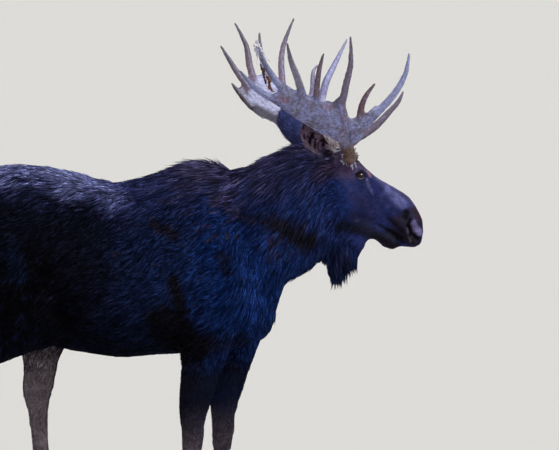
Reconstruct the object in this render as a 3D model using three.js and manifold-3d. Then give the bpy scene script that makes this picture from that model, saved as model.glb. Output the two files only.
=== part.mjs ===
// A bull moose standing still with its head raised and turned a little to its left.
//
// Millimetres, +Z up, +X the way it faces, +Y its left side. While it is being
// shaped, X = 0 lies under the withers, Y = 0 is the middle plane and Z = 0 is
// the floor. The finished group is moved so that the origin is the middle of its
// footprint box, on the floor.
//
// Flesh is made of lofts through "ribs". A rib is one cross-section: a line from
// an upper (or front) point to a lower (or back) point in the side view, with a
// half-width across it. All of it is shaped straight ahead first. bendNeck()
// then swings the neck round little by little, and turnHead() turns the head, and
// the ears, eyes, bell and antlers that ride on it, as one.

import * as THREE from "three";
import { mergeVertices } from "three/addons/utils/BufferGeometryUtils.js";
import Module from "manifold-3d";

const wasm = await Module();
wasm.setup();

// ---------------------------------------------------------------- driving sizes

const GAP = 0.3;                     // clearance between neighbouring pieces
const HEAD_TURN = THREE.MathUtils.degToRad(9);
const NECK_START_X = 300;            // the neck starts to swing here
const HEAD_PIVOT_X = 600;            // and the head is rigid from here forward
const KNEE_Z = 520;                  // cut between upper and lower foreleg
const HOCK_Z = 660;                  // cut between upper and lower hind leg
const CORONET_Z = 82;                // top of the hooves
const SOLE_Z = 0;
const CLAW_SPREAD = 27;              // from the middle of a foot to each claw
const DEWCLAW_SPREAD = 21;
const DEWCLAW_SETBACK = { front: 16, hind: 20 };
const EYE = { x: 770, y: 94, z: 1768, radius: 22 };
const MIRROR = { left: 1, right: -1 };

const hide = new THREE.MeshStandardMaterial({ color: 0x1f1a1c, roughness: 0.9, metalness: 0 });
const legHide = new THREE.MeshStandardMaterial({ color: 0x4a4038, roughness: 0.9, metalness: 0 });
const faceHide = new THREE.MeshStandardMaterial({ color: 0x33261f, roughness: 0.9, metalness: 0 });
const antlerBone = new THREE.MeshStandardMaterial({ color: 0x6d5c4c, roughness: 0.7, metalness: 0 });
const horn = new THREE.MeshStandardMaterial({ color: 0x171514, roughness: 0.5, metalness: 0 });
const eyeWet = new THREE.MeshStandardMaterial({ color: 0x120b07, roughness: 0.1, metalness: 0 });

// ---------------------------------------------------------------- solid helpers

function toSolid(geometry) {
  const bare = geometry.clone();
  bare.deleteAttribute("normal");
  bare.deleteAttribute("uv");
  const merged = mergeVertices(bare, 1e-3);
  return new wasm.Manifold(new wasm.Mesh({
    numProp: 3,
    vertProperties: new Float32Array(merged.attributes.position.array),
    triVerts: new Uint32Array(merged.index.array),
  }));
}

function toGeometry(solid) {
  const mesh = solid.getMesh();
  const geometry = new THREE.BufferGeometry();
  geometry.setAttribute("position", new THREE.BufferAttribute(new Float32Array(mesh.vertProperties), 3));
  geometry.setIndex(new THREE.BufferAttribute(new Uint32Array(mesh.triVerts), 1));
  geometry.computeVertexNormals();
  return geometry;
}

// The largest of the pieces that a cut leaves.
function largest(solid) {
  return solid.decompose().reduce((a, b) => (b.volume() > a.volume() ? b : a));
}

function without(solid, ...others) {
  let rest = solid;
  for (const other of others) rest = rest.subtract(other);
  return largest(rest);
}

function join(...solids) {
  return solids.reduce((a, b) => a.add(b));
}

// ---------------------------------------------------------------- loft helpers

function centreOf(ring) {
  return ring.reduce((sum, p) => sum.addScaledVector(p, 1 / ring.length), new THREE.Vector3());
}

// Moves a ring straight away from its neighbour by `grow`.
function pushEnd(ring, neighbour, grow) {
  const away = centreOf(ring).sub(centreOf(neighbour)).normalize();
  for (const p of ring) p.addScaledVector(away, grow);
}

// A closed skin over a list of rings with the same number of points. `grow`
// carries its two flat ends outward.
function skinRings(rings, grow = 0) {
  const count = rings[0].length;
  if (grow > 0) {
    pushEnd(rings[0], rings[1], grow);
    pushEnd(rings[rings.length - 1], rings[rings.length - 2], grow);
  }
  const points = rings.flat();
  const first = points.length;
  points.push(centreOf(rings[0]), centreOf(rings[rings.length - 1]));
  const faces = [];
  for (let r = 0; r + 1 < rings.length; r++) {
    for (let k = 0; k < count; k++) {
      const a = r * count + k;
      const b = r * count + (k + 1) % count;
      faces.push(a, b, b + count, a, b + count, a + count);
    }
  }
  const last = (rings.length - 1) * count;
  for (let k = 0; k < count; k++) {
    faces.push(first, (k + 1) % count, k);
    faces.push(first + 1, last + k, last + (k + 1) % count);
  }
  const geometry = new THREE.BufferGeometry().setFromPoints(points);
  geometry.setIndex(faces);
  if (signedVolume(points, faces) < 0) {
    for (let i = 0; i < faces.length; i += 3) [faces[i], faces[i + 1]] = [faces[i + 1], faces[i]];
    geometry.setIndex(faces);
  }
  geometry.computeVertexNormals();
  return geometry;
}

function signedVolume(points, faces) {
  let sum = 0;
  for (let i = 0; i < faces.length; i += 3) {
    const [a, b, c] = [points[faces[i]], points[faces[i + 1]], points[faces[i + 2]]];
    sum += a.dot(new THREE.Vector3().crossVectors(b, c)) / 6;
  }
  return sum;
}

// Smooth rows between the given rows, `steps` to each interval.
function smoothRows(rows, steps) {
  const at = (i) => rows[Math.min(Math.max(i, 0), rows.length - 1)];
  const out = [];
  for (let i = 0; i + 1 < rows.length; i++) {
    for (let k = 0; k < steps; k++) out.push(blendRow(at(i - 1), at(i), at(i + 1), at(i + 2), k / steps));
  }
  out.push(rows[rows.length - 1].slice());
  return out;
}

function blendRow(p, q, r, s, t) {
  return q.map((_, j) => 0.5 * (2 * q[j] + (r[j] - p[j]) * t
    + (2 * p[j] - 5 * q[j] + 4 * r[j] - s[j]) * t * t
    + (3 * q[j] - p[j] - 3 * r[j] + s[j]) * t * t * t));
}

// One rib row: [topX, topZ, lowX, lowZ, halfWidth, middleY, level, topPower, lowPower].
// `level` is how far up the rib its widest place is; a power of 2 is round,
// more is boxy and less is sharp.
function ribRing(row, sides, grow) {
  const [topX, topZ, lowX, lowZ, halfWidth, middleY, level, topPower, lowPower] = row;
  const top = new THREE.Vector3(topX, middleY, topZ);
  const low = new THREE.Vector3(lowX, middleY, lowZ);
  const along = top.clone().sub(low).normalize();
  top.addScaledVector(along, grow);
  low.addScaledVector(along, -grow);
  const widest = low.clone().lerp(top, level);
  const ring = [];
  for (let k = 0; k < sides; k++) {
    const angle = (k / sides) * 2 * Math.PI;
    const across = Math.cos(angle);
    const up = Math.sin(angle);
    const power = 2 / (up >= 0 ? topPower : lowPower);
    const reach = up >= 0 ? top : low;
    const p = widest.clone().lerp(reach, Math.abs(up) ** power);
    p.y += Math.sign(across) * Math.abs(across) ** power * (halfWidth + grow);
    ring.push(p);
  }
  return ring;
}

// Rib rows hold the y of the middle only where a limb is off the middle plane,
// so the short form [topX, topZ, lowX, lowZ, halfWidth, level, topPower, lowPower] is filled in here.
function central(rows) {
  return rows.map(([tx, tz, lx, lz, w, level, tp, lp]) => [tx, tz, lx, lz, w, 0, level, tp, lp]);
}

function loft(rows, { sides = 20, steps = 2, grow = 0 } = {}) {
  return skinRings(smoothRows(rows, steps).map((row) => ribRing(row, sides, grow)), grow);
}

// Swings the neck to the left: not at all behind its start, by the whole angle
// from the head's pivot forward, and by a smooth bend between.
function bendNeck(v) {
  const bend = HEAD_PIVOT_X - NECK_START_X;
  const t = THREE.MathUtils.clamp((v.x - NECK_START_X) / bend, 0, 1);
  const angle = HEAD_TURN * t * t;
  const ahead = Math.max(v.x - HEAD_PIVOT_X, 0);
  const swing = HEAD_TURN * bend * t ** 3 / 3;
  return new THREE.Vector3(
    Math.min(v.x, HEAD_PIVOT_X) + ahead * Math.cos(angle) - v.y * Math.sin(angle),
    swing + ahead * Math.sin(angle) + v.y * Math.cos(angle),
    v.z,
  );
}

// The head, with all that it carries, turns as one about its pivot.
function turnHead(v) {
  const pivot = new THREE.Vector3(HEAD_PIVOT_X, 0, 0);
  const turned = v.clone().sub(pivot).applyAxisAngle(new THREE.Vector3(0, 0, 1), HEAD_TURN);
  return turned.add(bendNeck(pivot));
}

function moved(geometry, how) {
  const place = geometry.attributes.position;
  for (let i = 0; i < place.count; i++) {
    const v = how(new THREE.Vector3().fromBufferAttribute(place, i));
    place.setXYZ(i, v.x, v.y, v.z);
  }
  return geometry;
}

// A tapering round bar along a smooth curve. Each stop is [x, y, z, radius].
function bar(stops, { sides = 5, steps = 2, grow = 0 } = {}) {
  const rows = smoothRows(stops, steps);
  const points = rows.map(([x, y, z]) => new THREE.Vector3(x, y, z));
  let side = new THREE.Vector3(0.3, 0.2, 1);
  const rings = points.map((p, i) => {
    const ahead = points[Math.min(i + 1, points.length - 1)].clone()
      .sub(points[Math.max(i - 1, 0)]).normalize();
    side = side.clone().addScaledVector(ahead, -side.dot(ahead)).normalize();
    const other = new THREE.Vector3().crossVectors(ahead, side);
    const radius = Math.max(rows[i][3], 1) + grow;
    return Array.from({ length: sides }, (_, k) => {
      const angle = (k / sides) * 2 * Math.PI;
      return p.clone().addScaledVector(side, radius * Math.cos(angle))
        .addScaledVector(other, radius * Math.sin(angle));
    });
  });
  return skinRings(rings, grow);
}

// A thin plate between two edges. Each rib is [[x, y, z] of one edge, [x, y, z]
// of the other, half-thickness], and its section is a flat lens.
function plate(ribs, { steps = 1, grow = 0, sides = 6 } = {}) {
  const rows = smoothRows(ribs.map(([a, b, w]) => [...a, ...b, w]), steps);
  const middles = rows.map((r) => new THREE.Vector3(r[0] + r[3], r[1] + r[4], r[2] + r[5]).multiplyScalar(0.5));
  const rings = rows.map((r, i) => {
    const ahead = middles[Math.min(i + 1, middles.length - 1)].clone().sub(middles[Math.max(i - 1, 0)]);
    const half = new THREE.Vector3(r[0] - r[3], r[1] - r[4], r[2] - r[5]).multiplyScalar(0.5);
    const thick = new THREE.Vector3().crossVectors(half, ahead).normalize();
    const reach = half.length() + grow;
    half.normalize();
    return Array.from({ length: sides }, (_, k) => {
      const angle = (k / sides) * 2 * Math.PI;
      const flat = Math.sign(Math.sin(angle)) * Math.abs(Math.sin(angle)) ** 0.8;
      return middles[i].clone().addScaledVector(half, reach * Math.cos(angle))
        .addScaledVector(thick, (r[6] + grow) * flat);
    });
  });
  return skinRings(rings, grow);
}

// ---------------------------------------------------------------- trunk and tail

function trunk(grow = 0) {
  return loft(central([
    [-1172, 1640, -1172, 1400, 60, 0.50, 2.0, 2.0],
    [-1150, 1712, -1150, 1270, 145, 0.50, 2.0, 2.0],
    [-1095, 1768, -1095, 1150, 198, 0.52, 2.0, 2.0],
    [-1000, 1803, -1000, 1060, 238, 0.52, 2.1, 2.0],
    [-860, 1815, -860, 975, 268, 0.50, 2.1, 2.0],
    [-690, 1797, -690, 914, 295, 0.46, 2.1, 2.1],
    [-540, 1760, -540, 886, 316, 0.43, 2.0, 2.2],
    [-390, 1732, -390, 866, 325, 0.42, 1.9, 2.2],
    [-250, 1775, -250, 876, 320, 0.42, 1.8, 2.2],
    [-110, 1822, -110, 884, 302, 0.43, 1.7, 2.1],
    [10, 1848, 10, 888, 282, 0.44, 1.6, 2.1],
    [120, 1820, 120, 896, 258, 0.44, 1.6, 2.0],
    [220, 1772, 220, 918, 228, 0.42, 1.8, 2.0],
    [300, 1690, 300, 952, 186, 0.42, 2.0, 2.0],
    [352, 1560, 352, 1010, 128, 0.42, 2.0, 2.0],
    [374, 1420, 374, 1100, 70, 0.45, 2.0, 2.0],
  ]), { sides: 16, steps: 2, grow });
}

function tail() {
  return loft(central([
    [-1120, 1745, -1120, 1690, 26, 0.5, 2, 2],
    [-1165, 1735, -1150, 1680, 30, 0.5, 2, 2],
    [-1200, 1690, -1160, 1655, 30, 0.5, 2, 2],
    [-1216, 1630, -1176, 1615, 24, 0.5, 2, 2],
    [-1214, 1578, -1196, 1574, 8, 0.5, 2, 2],
  ]), { sides: 8, steps: 1 });
}

// ---------------------------------------------------------------- neck and bell

const NECK_FACE = [[612, 1925], [668, 1432]];   // flat joint with the head, upper and lower end

function neck(grow = 0) {
  const [faceTop, faceLow] = NECK_FACE;
  return moved(loft(central([
    [60, 1795, 190, 1010, 190, 0.45, 1.8, 2.0],
    [180, 1808, 340, 1050, 212, 0.45, 1.7, 2.0],
    [290, 1846, 388, 1150, 208, 0.45, 1.6, 2.0],
    [385, 1884, 428, 1240, 195, 0.45, 1.6, 2.0],
    [480, 1918, 512, 1290, 182, 0.46, 1.7, 2.0],
    [552, 1932, 596, 1350, 168, 0.48, 1.8, 2.0],
    [...faceTop, ...faceLow, 150, 0.50, 1.9, 2.0],
  ]), { sides: 14, steps: 2, grow }), bendNeck);
}

function bell() {
  return moved(loft(central([
    [812, 1520, 650, 1500, 58, 0.5, 2, 2],
    [822, 1440, 622, 1410, 58, 0.5, 2, 2],
    [796, 1372, 606, 1352, 46, 0.5, 2, 2],
    [730, 1312, 602, 1306, 33, 0.5, 2, 2],
    [700, 1272, 616, 1268, 22, 0.5, 2, 2],
    [678, 1246, 644, 1245, 9, 0.5, 2, 2],
  ]), { sides: 10, steps: 1 }), turnHead);
}

// ---------------------------------------------------------------- head

// Skull, face and muzzle down to the line of the mouth.
function upperHead(grow) {
  const [faceTop, faceLow] = NECK_FACE;
  return loft(central([
    [faceTop[0] + GAP, faceTop[1] - 2, faceLow[0] + GAP, faceLow[1] + 4, 148, 0.52, 1.9, 2.0],
    [690, 1894, 712, 1462, 132, 0.55, 2.0, 2.0],
    [752, 1858, 742, 1482, 117, 0.60, 2.3, 2.0],
    [800, 1810, 776, 1494, 108, 0.66, 2.5, 2.0],
    [858, 1755, 822, 1502, 88, 0.62, 2.6, 2.1],
    [915, 1722, 862, 1500, 72, 0.56, 2.4, 2.2],
    [970, 1692, 905, 1490, 69, 0.52, 2.2, 2.4],
    [1025, 1654, 948, 1466, 76, 0.50, 2.2, 2.6],
    [1062, 1606, 986, 1440, 84, 0.48, 2.3, 2.8],
    [1080, 1556, 1018, 1424, 84, 0.46, 2.4, 2.8],
    [1086, 1512, 1046, 1428, 70, 0.46, 2.2, 2.4],
    [1080, 1484, 1062, 1446, 34, 0.46, 2.0, 2.0],
  ]), { sides: 16, steps: 2, grow });
}

// Lower jaw from its angle to the chin, set a little behind the upper lip.
function jaw(grow) {
  return loft(central([
    [700, 1600, 694, 1478, 84, 0.5, 2, 2],
    [760, 1580, 752, 1462, 88, 0.5, 2, 2],
    [830, 1550, 812, 1452, 72, 0.5, 2, 2],
    [880, 1524, 872, 1440, 56, 0.5, 2, 2],
    [922, 1500, 916, 1414, 50, 0.5, 2, 2.2],
    [962, 1478, 958, 1408, 50, 0.5, 2, 2.2],
    [992, 1452, 990, 1424, 34, 0.5, 2, 2],
  ]), { sides: 10, steps: 1, grow });
}

// The stump of bone under each antler, still covered by the hide of the head.
function pedicle(side, grow) {
  const s = MIRROR[side];
  return bar([
    [712, s * 60, 1820, 40],
    [715, s * 102, 1846, 36],
    [716, s * 119, 1856, 35],
  ], { sides: 8, steps: 1, grow });
}

function eyeball(side, grow = 0) {
  const ball = new THREE.SphereGeometry(EYE.radius + grow, 10, 6);
  ball.rotateX(Math.PI / 2);
  ball.translate(EYE.x, MIRROR[side] * EYE.y, EYE.z);
  return moved(ball, turnHead);
}

function headSolid(grow = 0) {
  return join(
    toSolid(moved(upperHead(grow), turnHead)),
    toSolid(moved(jaw(grow), turnHead)),
    toSolid(moved(pedicle("left", grow), turnHead)),
    toSolid(moved(pedicle("right", grow), turnHead)),
  );
}

// ---------------------------------------------------------------- ears

// A leaf-shaped cup. `root` and `tip` are its ends, `open` is the way its
// hollow faces, and all are given straight ahead on the left side.
const EAR = {
  left: { root: [606, 100, 1864], tip: [428, 255, 2066], open: [0.25, 0.9, -0.1], halfWidth: 86 },
  right: { root: [622, 104, 1872], tip: [456, 285, 2036], open: [0.35, 0.75, -0.45], halfWidth: 70 },
};

function ear(side) {
  const { root, tip, open, halfWidth } = EAR[side];
  const start = new THREE.Vector3(...root);
  const line = new THREE.Vector3(...tip).sub(start);
  const axis = line.clone().normalize();
  const face = new THREE.Vector3(...open);
  face.addScaledVector(axis, -face.dot(axis)).normalize();
  const across = new THREE.Vector3().crossVectors(axis, face);
  const rings = [];
  const ringCount = 8;
  for (let i = 0; i <= ringCount; i++) {
    const u = i / ringCount;
    const half = halfWidth * (0.45 + 1.25 * u - 0.45 * u * u) * Math.sqrt(Math.max(1 - u ** 3, 0.003));
    const cup = half * (0.95 - 0.55 * u);
    const wall = 9 - 5 * u;
    const middle = start.clone().addScaledVector(line, u);
    const ring = [];
    for (const [layer, steps] of [[-1, [-1, -0.6, -0.2, 0.2, 0.6, 1]], [1, [0.92, 0.5, 0, -0.5, -0.92]]]) {
      for (const v of steps) {
        const depth = -cup * (1 - v * v) + layer * wall * 0.5;
        ring.push(middle.clone().addScaledVector(across, half * v).addScaledVector(face, depth + cup * 0.5));
      }
    }
    rings.push(ring);
  }
  const geometry = skinRings(rings);
  if (side === "right") mirrorY(geometry);
  return moved(geometry, turnHead);
}

function mirrorY(geometry) {
  geometry.scale(1, -1, 1);
  const { array } = geometry.index;
  for (let i = 0; i < array.length; i += 3) [array[i], array[i + 1]] = [array[i + 1], array[i]];
}

// ---------------------------------------------------------------- antlers

// Straight-ahead places on the left side; the right antler is mirrored. Each
// tine is a bar of stops [x, y, z, radius]; `palm` and `brow` are plates.
const BEAM = [
  [716, 118, 1856, 36], [702, 160, 1890, 30], [682, 215, 1922, 28], [662, 262, 1952, 28], [640, 300, 1986, 28],
];
const BURR = [[715, 121, 1857, 44], [711, 134, 1866, 45], [707, 146, 1874, 34]];

const ANTLER = {
  right: {
    palm: [
      [[652, 372, 2070], [662, 285, 1928], 17],
      [[610, 392, 2112], [590, 325, 1966], 16],
      [[552, 410, 2142], [506, 360, 2008], 14],
      [[462, 430, 2184], [424, 388, 2056], 13],
      [[366, 440, 2214], [338, 402, 2116], 12],
      [[292, 425, 2200], [264, 412, 2166], 11],
    ],
    main: [
      [[374, 398, 2148, 15], [264, 412, 2180, 16], [184, 420, 2240, 13], [124, 430, 2310, 3]],
      [[344, 430, 2204, 17], [292, 445, 2264, 17], [242, 465, 2338, 13], [194, 482, 2432, 3]],
      [[432, 425, 2188, 18], [398, 458, 2278, 17], [362, 490, 2362, 12], [340, 520, 2448, 3]],
      [[502, 415, 2144, 16], [498, 448, 2232, 15], [504, 482, 2318, 11], [520, 512, 2396, 3]],
      [[652, 352, 2040, 24], [634, 400, 2124, 20], [638, 440, 2226, 17], [658, 478, 2340, 13], [648, 520, 2478, 3]],
    ],
    brow: [
      [[658, 365, 2066], [702, 250, 1916], 17],
      [[698, 362, 2070], [730, 262, 1946], 15],
      [[754, 352, 2092], [774, 292, 2024], 14],
      [[808, 342, 2130], [828, 318, 2084], 13],
    ],
    browTines: [
      [[724, 352, 2068, 18], [730, 372, 2132, 15], [752, 390, 2188, 11], [790, 402, 2240, 3]],
      [[752, 300, 2026, 22], [834, 335, 2114, 19], [902, 340, 2192, 16], [952, 336, 2284, 11], [968, 330, 2380, 3]],
    ],
  },
  left: {
    palm: [
      [[720, 372, 2114], [682, 285, 1934], 17],
      [[658, 385, 2144], [598, 320, 1936], 15],
      [[570, 420, 2172], [518, 352, 1956], 13],
      [[488, 438, 2186], [432, 375, 1984], 12],
      [[368, 440, 2232], [360, 388, 2014], 11],
      [[286, 425, 2218], [292, 395, 2068], 10],
      [[252, 405, 2166], [256, 398, 2112], 8],
    ],
    main: [
      [[310, 390, 2068, 12], [266, 396, 2118, 11], [232, 400, 2162, 8], [210, 402, 2192, 3]],
      [[302, 405, 2166, 16], [256, 422, 2220, 15], [210, 448, 2296, 11], [166, 470, 2372, 3]],
      [[326, 425, 2194, 18], [306, 448, 2276, 17], [296, 488, 2372, 12], [244, 522, 2482, 3]],
      [[396, 435, 2192, 15], [376, 462, 2280, 13], [368, 500, 2356, 10], [370, 535, 2432, 3]],
      [[470, 430, 2162, 17], [466, 458, 2258, 16], [482, 500, 2364, 12], [544, 542, 2500, 3]],
      [[602, 405, 2128, 13], [616, 418, 2192, 11], [620, 430, 2244, 8], [648, 440, 2274, 3]],
      [[648, 388, 2124, 22], [680, 402, 2192, 18], [732, 440, 2278, 13], [800, 480, 2398, 3]],
    ],
    brow: [
      [[676, 330, 2000], [668, 252, 1928], 18],
      [[734, 345, 2020], [740, 246, 1906], 16],
      [[780, 340, 2036], [784, 240, 1906], 14],
      [[826, 318, 2048], [832, 232, 1930], 13],
      [[866, 290, 2060], [886, 230, 1974], 11],
    ],
    browTines: [
      [[836, 320, 2032, 16], [906, 322, 2076, 13], [966, 322, 2114, 10], [1012, 320, 2150, 3]],
      [[812, 235, 1926, 20], [896, 228, 1980, 18], [974, 220, 2064, 14], [1012, 214, 2108, 10], [1034, 210, 2156, 3]],
    ],
  },
};

// Beam with its burr, main palm with the tines round it, and brow palm with its
// tines. The palms are cut back to the beam, and the brow palm to the main one.
function antler(side) {
  const table = ANTLER[side];
  const place = (geometry) => {
    if (side === "right") mirrorY(geometry);
    return toSolid(moved(geometry, turnHead));
  };
  const beamPiece = (grow) => join(
    place(bar(BEAM, { sides: 7, steps: 1, grow })),
    place(bar(BURR, { sides: 8, steps: 1, grow })),
  );
  const palmPiece = (plateRibs, tines, grow) => join(
    place(plate(plateRibs, { grow })),
    ...tines.map((stops) => place(bar(stops, { steps: 2, grow }))),
  );
  const beam = without(beamPiece(0), headGrown);
  const palm = without(palmPiece(table.palm, table.main, 0), beamPiece(GAP));
  const brow = without(palmPiece(table.brow, table.browTines, 0), beamPiece(GAP),
    palmPiece(table.palm, table.main, GAP));
  return { beam, palm, brow };
}

// ---------------------------------------------------------------- legs

// Leg rows are [frontX, frontZ, backX, backZ, halfWidth, distance from the middle
// plane, level, frontPower, backPower], from the body down to the coronet.
const FORELEG = [
  [120, 1600, -60, 1600, 40, 168, 0.5, 2, 2],
  [185, 1480, -95, 1480, 92, 178, 0.5, 2, 2],
  [232, 1330, -120, 1330, 104, 196, 0.5, 2, 2],
  [236, 1180, -136, 1180, 102, 198, 0.5, 2, 2],
  [200, 1050, -140, 1050, 94, 190, 0.5, 2, 2],
  [158, 950, -118, 950, 82, 182, 0.5, 2, 2],
  [130, 850, -102, 850, 66, 176, 0.5, 2, 2],
  [106, 750, -94, 750, 56, 172, 0.5, 2, 2],
  [82, 640, -74, 640, 48, 168, 0.5, 2, 2],
  [66, 565, -58, 565, 44, 166, 0.5, 2.4, 2],
  [68, KNEE_Z, -52, KNEE_Z, 45, 165, 0.5, 2.6, 2],
  [58, 455, -50, 455, 41, 164, 0.5, 2.4, 2],
  [40, 370, -44, 370, 33, 163, 0.5, 2, 2],
  [36, 250, -44, 250, 31, 162, 0.5, 2, 2],
  [48, 175, -54, 175, 38, 162, 0.5, 2, 2],
  [60, 125, -40, 125, 38, 162, 0.5, 2, 2],
  [78, CORONET_Z, -38, CORONET_Z, 50, 162, 0.5, 2.2, 2.2],
];

const HIND_LEG = {
  right: [
    [-800, 1640, -1110, 1640, 45, 158, 0.5, 2, 2],
    [-735, 1500, -1168, 1510, 98, 166, 0.5, 2, 2],
    [-672, 1340, -1178, 1360, 116, 180, 0.5, 2, 2],
    [-620, 1180, -1166, 1220, 116, 188, 0.5, 2, 2],
    [-608, 1040, -1146, 1110, 104, 190, 0.5, 2, 2],
    [-700, 948, -1142, 1030, 86, 188, 0.5, 2, 2],
    [-846, 900, -1162, 955, 66, 184, 0.5, 2, 2],
    [-955, 858, -1188, 890, 50, 180, 0.5, 2, 2],
    [-1042, 790, -1214, 808, 43, 177, 0.5, 2, 2],
    [-1072, HOCK_Z, -1200, HOCK_Z, 41, 175, 0.5, 2, 2],
    [-1072, 590, -1176, 590, 36, 173, 0.5, 2, 2],
    [-1068, 470, -1158, 470, 32, 172, 0.5, 2, 2],
    [-1062, 300, -1148, 300, 31, 170, 0.5, 2, 2],
    [-1044, 180, -1148, 180, 38, 169, 0.5, 2, 2],
    [-1026, 125, -1128, 125, 38, 168, 0.5, 2, 2],
    [-1008, CORONET_Z, -1120, CORONET_Z, 50, 168, 0.5, 2.2, 2.2],
  ],
  left: [
    [-800, 1640, -1110, 1640, 45, 158, 0.5, 2, 2],
    [-730, 1500, -1150, 1510, 98, 166, 0.5, 2, 2],
    [-655, 1340, -1130, 1370, 116, 180, 0.5, 2, 2],
    [-590, 1180, -1068, 1220, 116, 188, 0.5, 2, 2],
    [-582, 1040, -985, 1080, 104, 190, 0.5, 2, 2],
    [-640, 930, -918, 965, 84, 188, 0.5, 2, 2],
    [-680, 850, -888, 872, 66, 184, 0.5, 2, 2],
    [-698, 775, -878, 795, 54, 180, 0.5, 2, 2],
    [-710, 715, -884, 730, 46, 177, 0.5, 2, 2],
    [-730, HOCK_Z, -874, HOCK_Z, 42, 175, 0.5, 2, 2],
    [-744, 590, -852, 590, 37, 173, 0.5, 2, 2],
    [-746, 470, -836, 470, 32, 172, 0.5, 2, 2],
    [-728, 300, -814, 300, 31, 170, 0.5, 2, 2],
    [-700, 180, -804, 180, 38, 169, 0.5, 2, 2],
    [-678, 125, -780, 125, 38, 168, 0.5, 2, 2],
    [-658, CORONET_Z, -770, CORONET_Z, 50, 168, 0.5, 2.2, 2.2],
  ],
};

// The left foreleg stands ahead of the right one, and both lean back a little
// below the elbow. These are how far forward of the withers each joint is.
const FORE_STANCE = {
  left: { elbow: 150, knee: 104 },
  right: { elbow: 8, knee: -42 },
};
const SHOULDER_Z = 1500;
const ELBOW_Z = 950;

function foreRows(side) {
  const { elbow, knee } = FORE_STANCE[side];
  return FORELEG.map((row) => {
    const upper = THREE.MathUtils.smoothstep(-row[1], -SHOULDER_Z, -ELBOW_Z);
    const lower = THREE.MathUtils.smoothstep(-row[1], -ELBOW_Z, -KNEE_Z);
    const shift = elbow * upper + (knee - elbow) * lower;
    return [row[0] + shift, row[1], row[2] + shift, ...row.slice(3)];
  });
}

function legRows(end, side) {
  const rows = end === "front" ? foreRows(side) : HIND_LEG[side];
  return rows.map((row) => [...row.slice(0, 5), MIRROR[side] * row[5], ...row.slice(6)]);
}

// Each leg is lofted in two lengths that meet at the knee or the hock.
function legPieces(end, side, body) {
  const rows = legRows(end, side);
  const cut = end === "front" ? KNEE_Z : HOCK_Z;
  const joint = rows.findIndex((row) => row[1] === cut);
  const upper = loft(rows.slice(0, joint + 1), { sides: 10, steps: 1 });
  const lowerRows = rows.slice(joint);
  lowerRows[0] = lowerRows[0].map((value, j) => (j === 1 || j === 3 ? value - GAP : value));
  const lower = loft(lowerRows, { sides: 10, steps: 1 });
  return { upper: without(toSolid(upper), body), lower, foot: rows[rows.length - 1] };
}

// One half of a cloven hoof: flat sole, pointed toe, sloping front.
function claw(foot, side, inner) {
  const [frontX, , backX, , , middleY] = foot;
  const lean = 3;
  const y = middleY + (inner ? -1 : 1) * MIRROR[side] * CLAW_SPREAD;
  const row = (z, front, back, half) => [frontX + front, z, backX + back, z, half, y, 0.44, 1.5, 2.6];
  return loft([
    row(SOLE_Z, 56, 2, 24),
    row(16, 54, 0, 25),
    row(48, 28, -3, 25),
    row(CORONET_Z - GAP, 2 - lean, lean, 22),
  ], { sides: 8, steps: 1 });
}

function dewclaw(foot, side, inner, end, grow = 0) {
  const [, , backX, , , middleY] = foot;
  const y = middleY + (inner ? -1 : 1) * MIRROR[side] * DEWCLAW_SPREAD;
  const x = backX - DEWCLAW_SETBACK[end];
  return loft([
    [x + 26, 136, x + 8, 142, 10, y, 0.5, 2, 2],
    [x + 20, 112, x - 8, 116, 13, y, 0.5, 2, 2],
    [x + 0, 84, x - 10, 85, 4, y, 0.5, 2, 2],
  ], { sides: 6, steps: 1, grow });
}

// ---------------------------------------------------------------- assembly

const moose = new THREE.Group();

function addNode(name, shape, material) {
  const geometry = shape.isBufferGeometry ? shape : toGeometry(shape);
  const mesh = new THREE.Mesh(geometry, material);
  mesh.name = name;
  moose.add(mesh);
  return mesh;
}

const trunkGrown = toSolid(trunk(GAP));
const neckGrown = toSolid(neck(GAP));
const headGrown = headSolid(GAP);

addNode("trunk", trunk(), hide);
addNode("tail", without(toSolid(tail()), trunkGrown), hide);
addNode("neck", without(toSolid(neck()), trunkGrown), hide);

const socketed = without(headSolid(), toSolid(eyeball("left", GAP)), toSolid(eyeball("right", GAP)));
addNode("head", socketed, faceHide);
addNode("bell", without(toSolid(bell()), headGrown, neckGrown), hide);

for (const side of ["left", "right"]) {
  addNode(`eye_${side}`, eyeball(side), eyeWet);
  addNode(`ear_${side}`, without(toSolid(ear(side)), headGrown, neckGrown), faceHide);
  const { beam, palm, brow } = antler(side);
  addNode(`antler_${side}_beam`, beam, antlerBone);
  addNode(`antler_${side}_palm`, palm, antlerBone);
  addNode(`antler_${side}_brow`, brow, antlerBone);
}

const bodyGrown = join(trunkGrown, neckGrown);
for (const end of ["front", "hind"]) {
  for (const side of ["left", "right"]) {
    const { upper, lower, foot } = legPieces(end, side, bodyGrown);
    addNode(`leg_${end}_${side}_upper`, upper, hide);
    const sockets = [true, false].map((inner) => toSolid(dewclaw(foot, side, inner, end, GAP)));
    addNode(`leg_${end}_${side}_lower`, without(toSolid(lower), ...sockets), legHide);
    for (const which of ["inner", "outer"]) {
      const inner = which === "inner";
      addNode(`hoof_${end}_${side}_${which}`, claw(foot, side, inner), horn);
      addNode(`dewclaw_${end}_${side}_${which}`, dewclaw(foot, side, inner, end), horn);
    }
  }
}

// The origin is the middle of the footprint box, on the floor.
const box = new THREE.Box3().setFromObject(moose);
const centre = box.getCenter(new THREE.Vector3());
moose.position.set(-centre.x, -centre.y, -box.min.z);

export default moose;
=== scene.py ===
"""A bull moose in full coat, standing still, as a life-size museum figure.

The flesh of the frame is covered by one skin, the skin carries tufts of hair that
lie the way a moose's coat does, and eyes, antlers and hooves are pieces of their own.
Metres, +Z up, +X the way the trunk faces, +Y the animal's left.
"""

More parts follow.
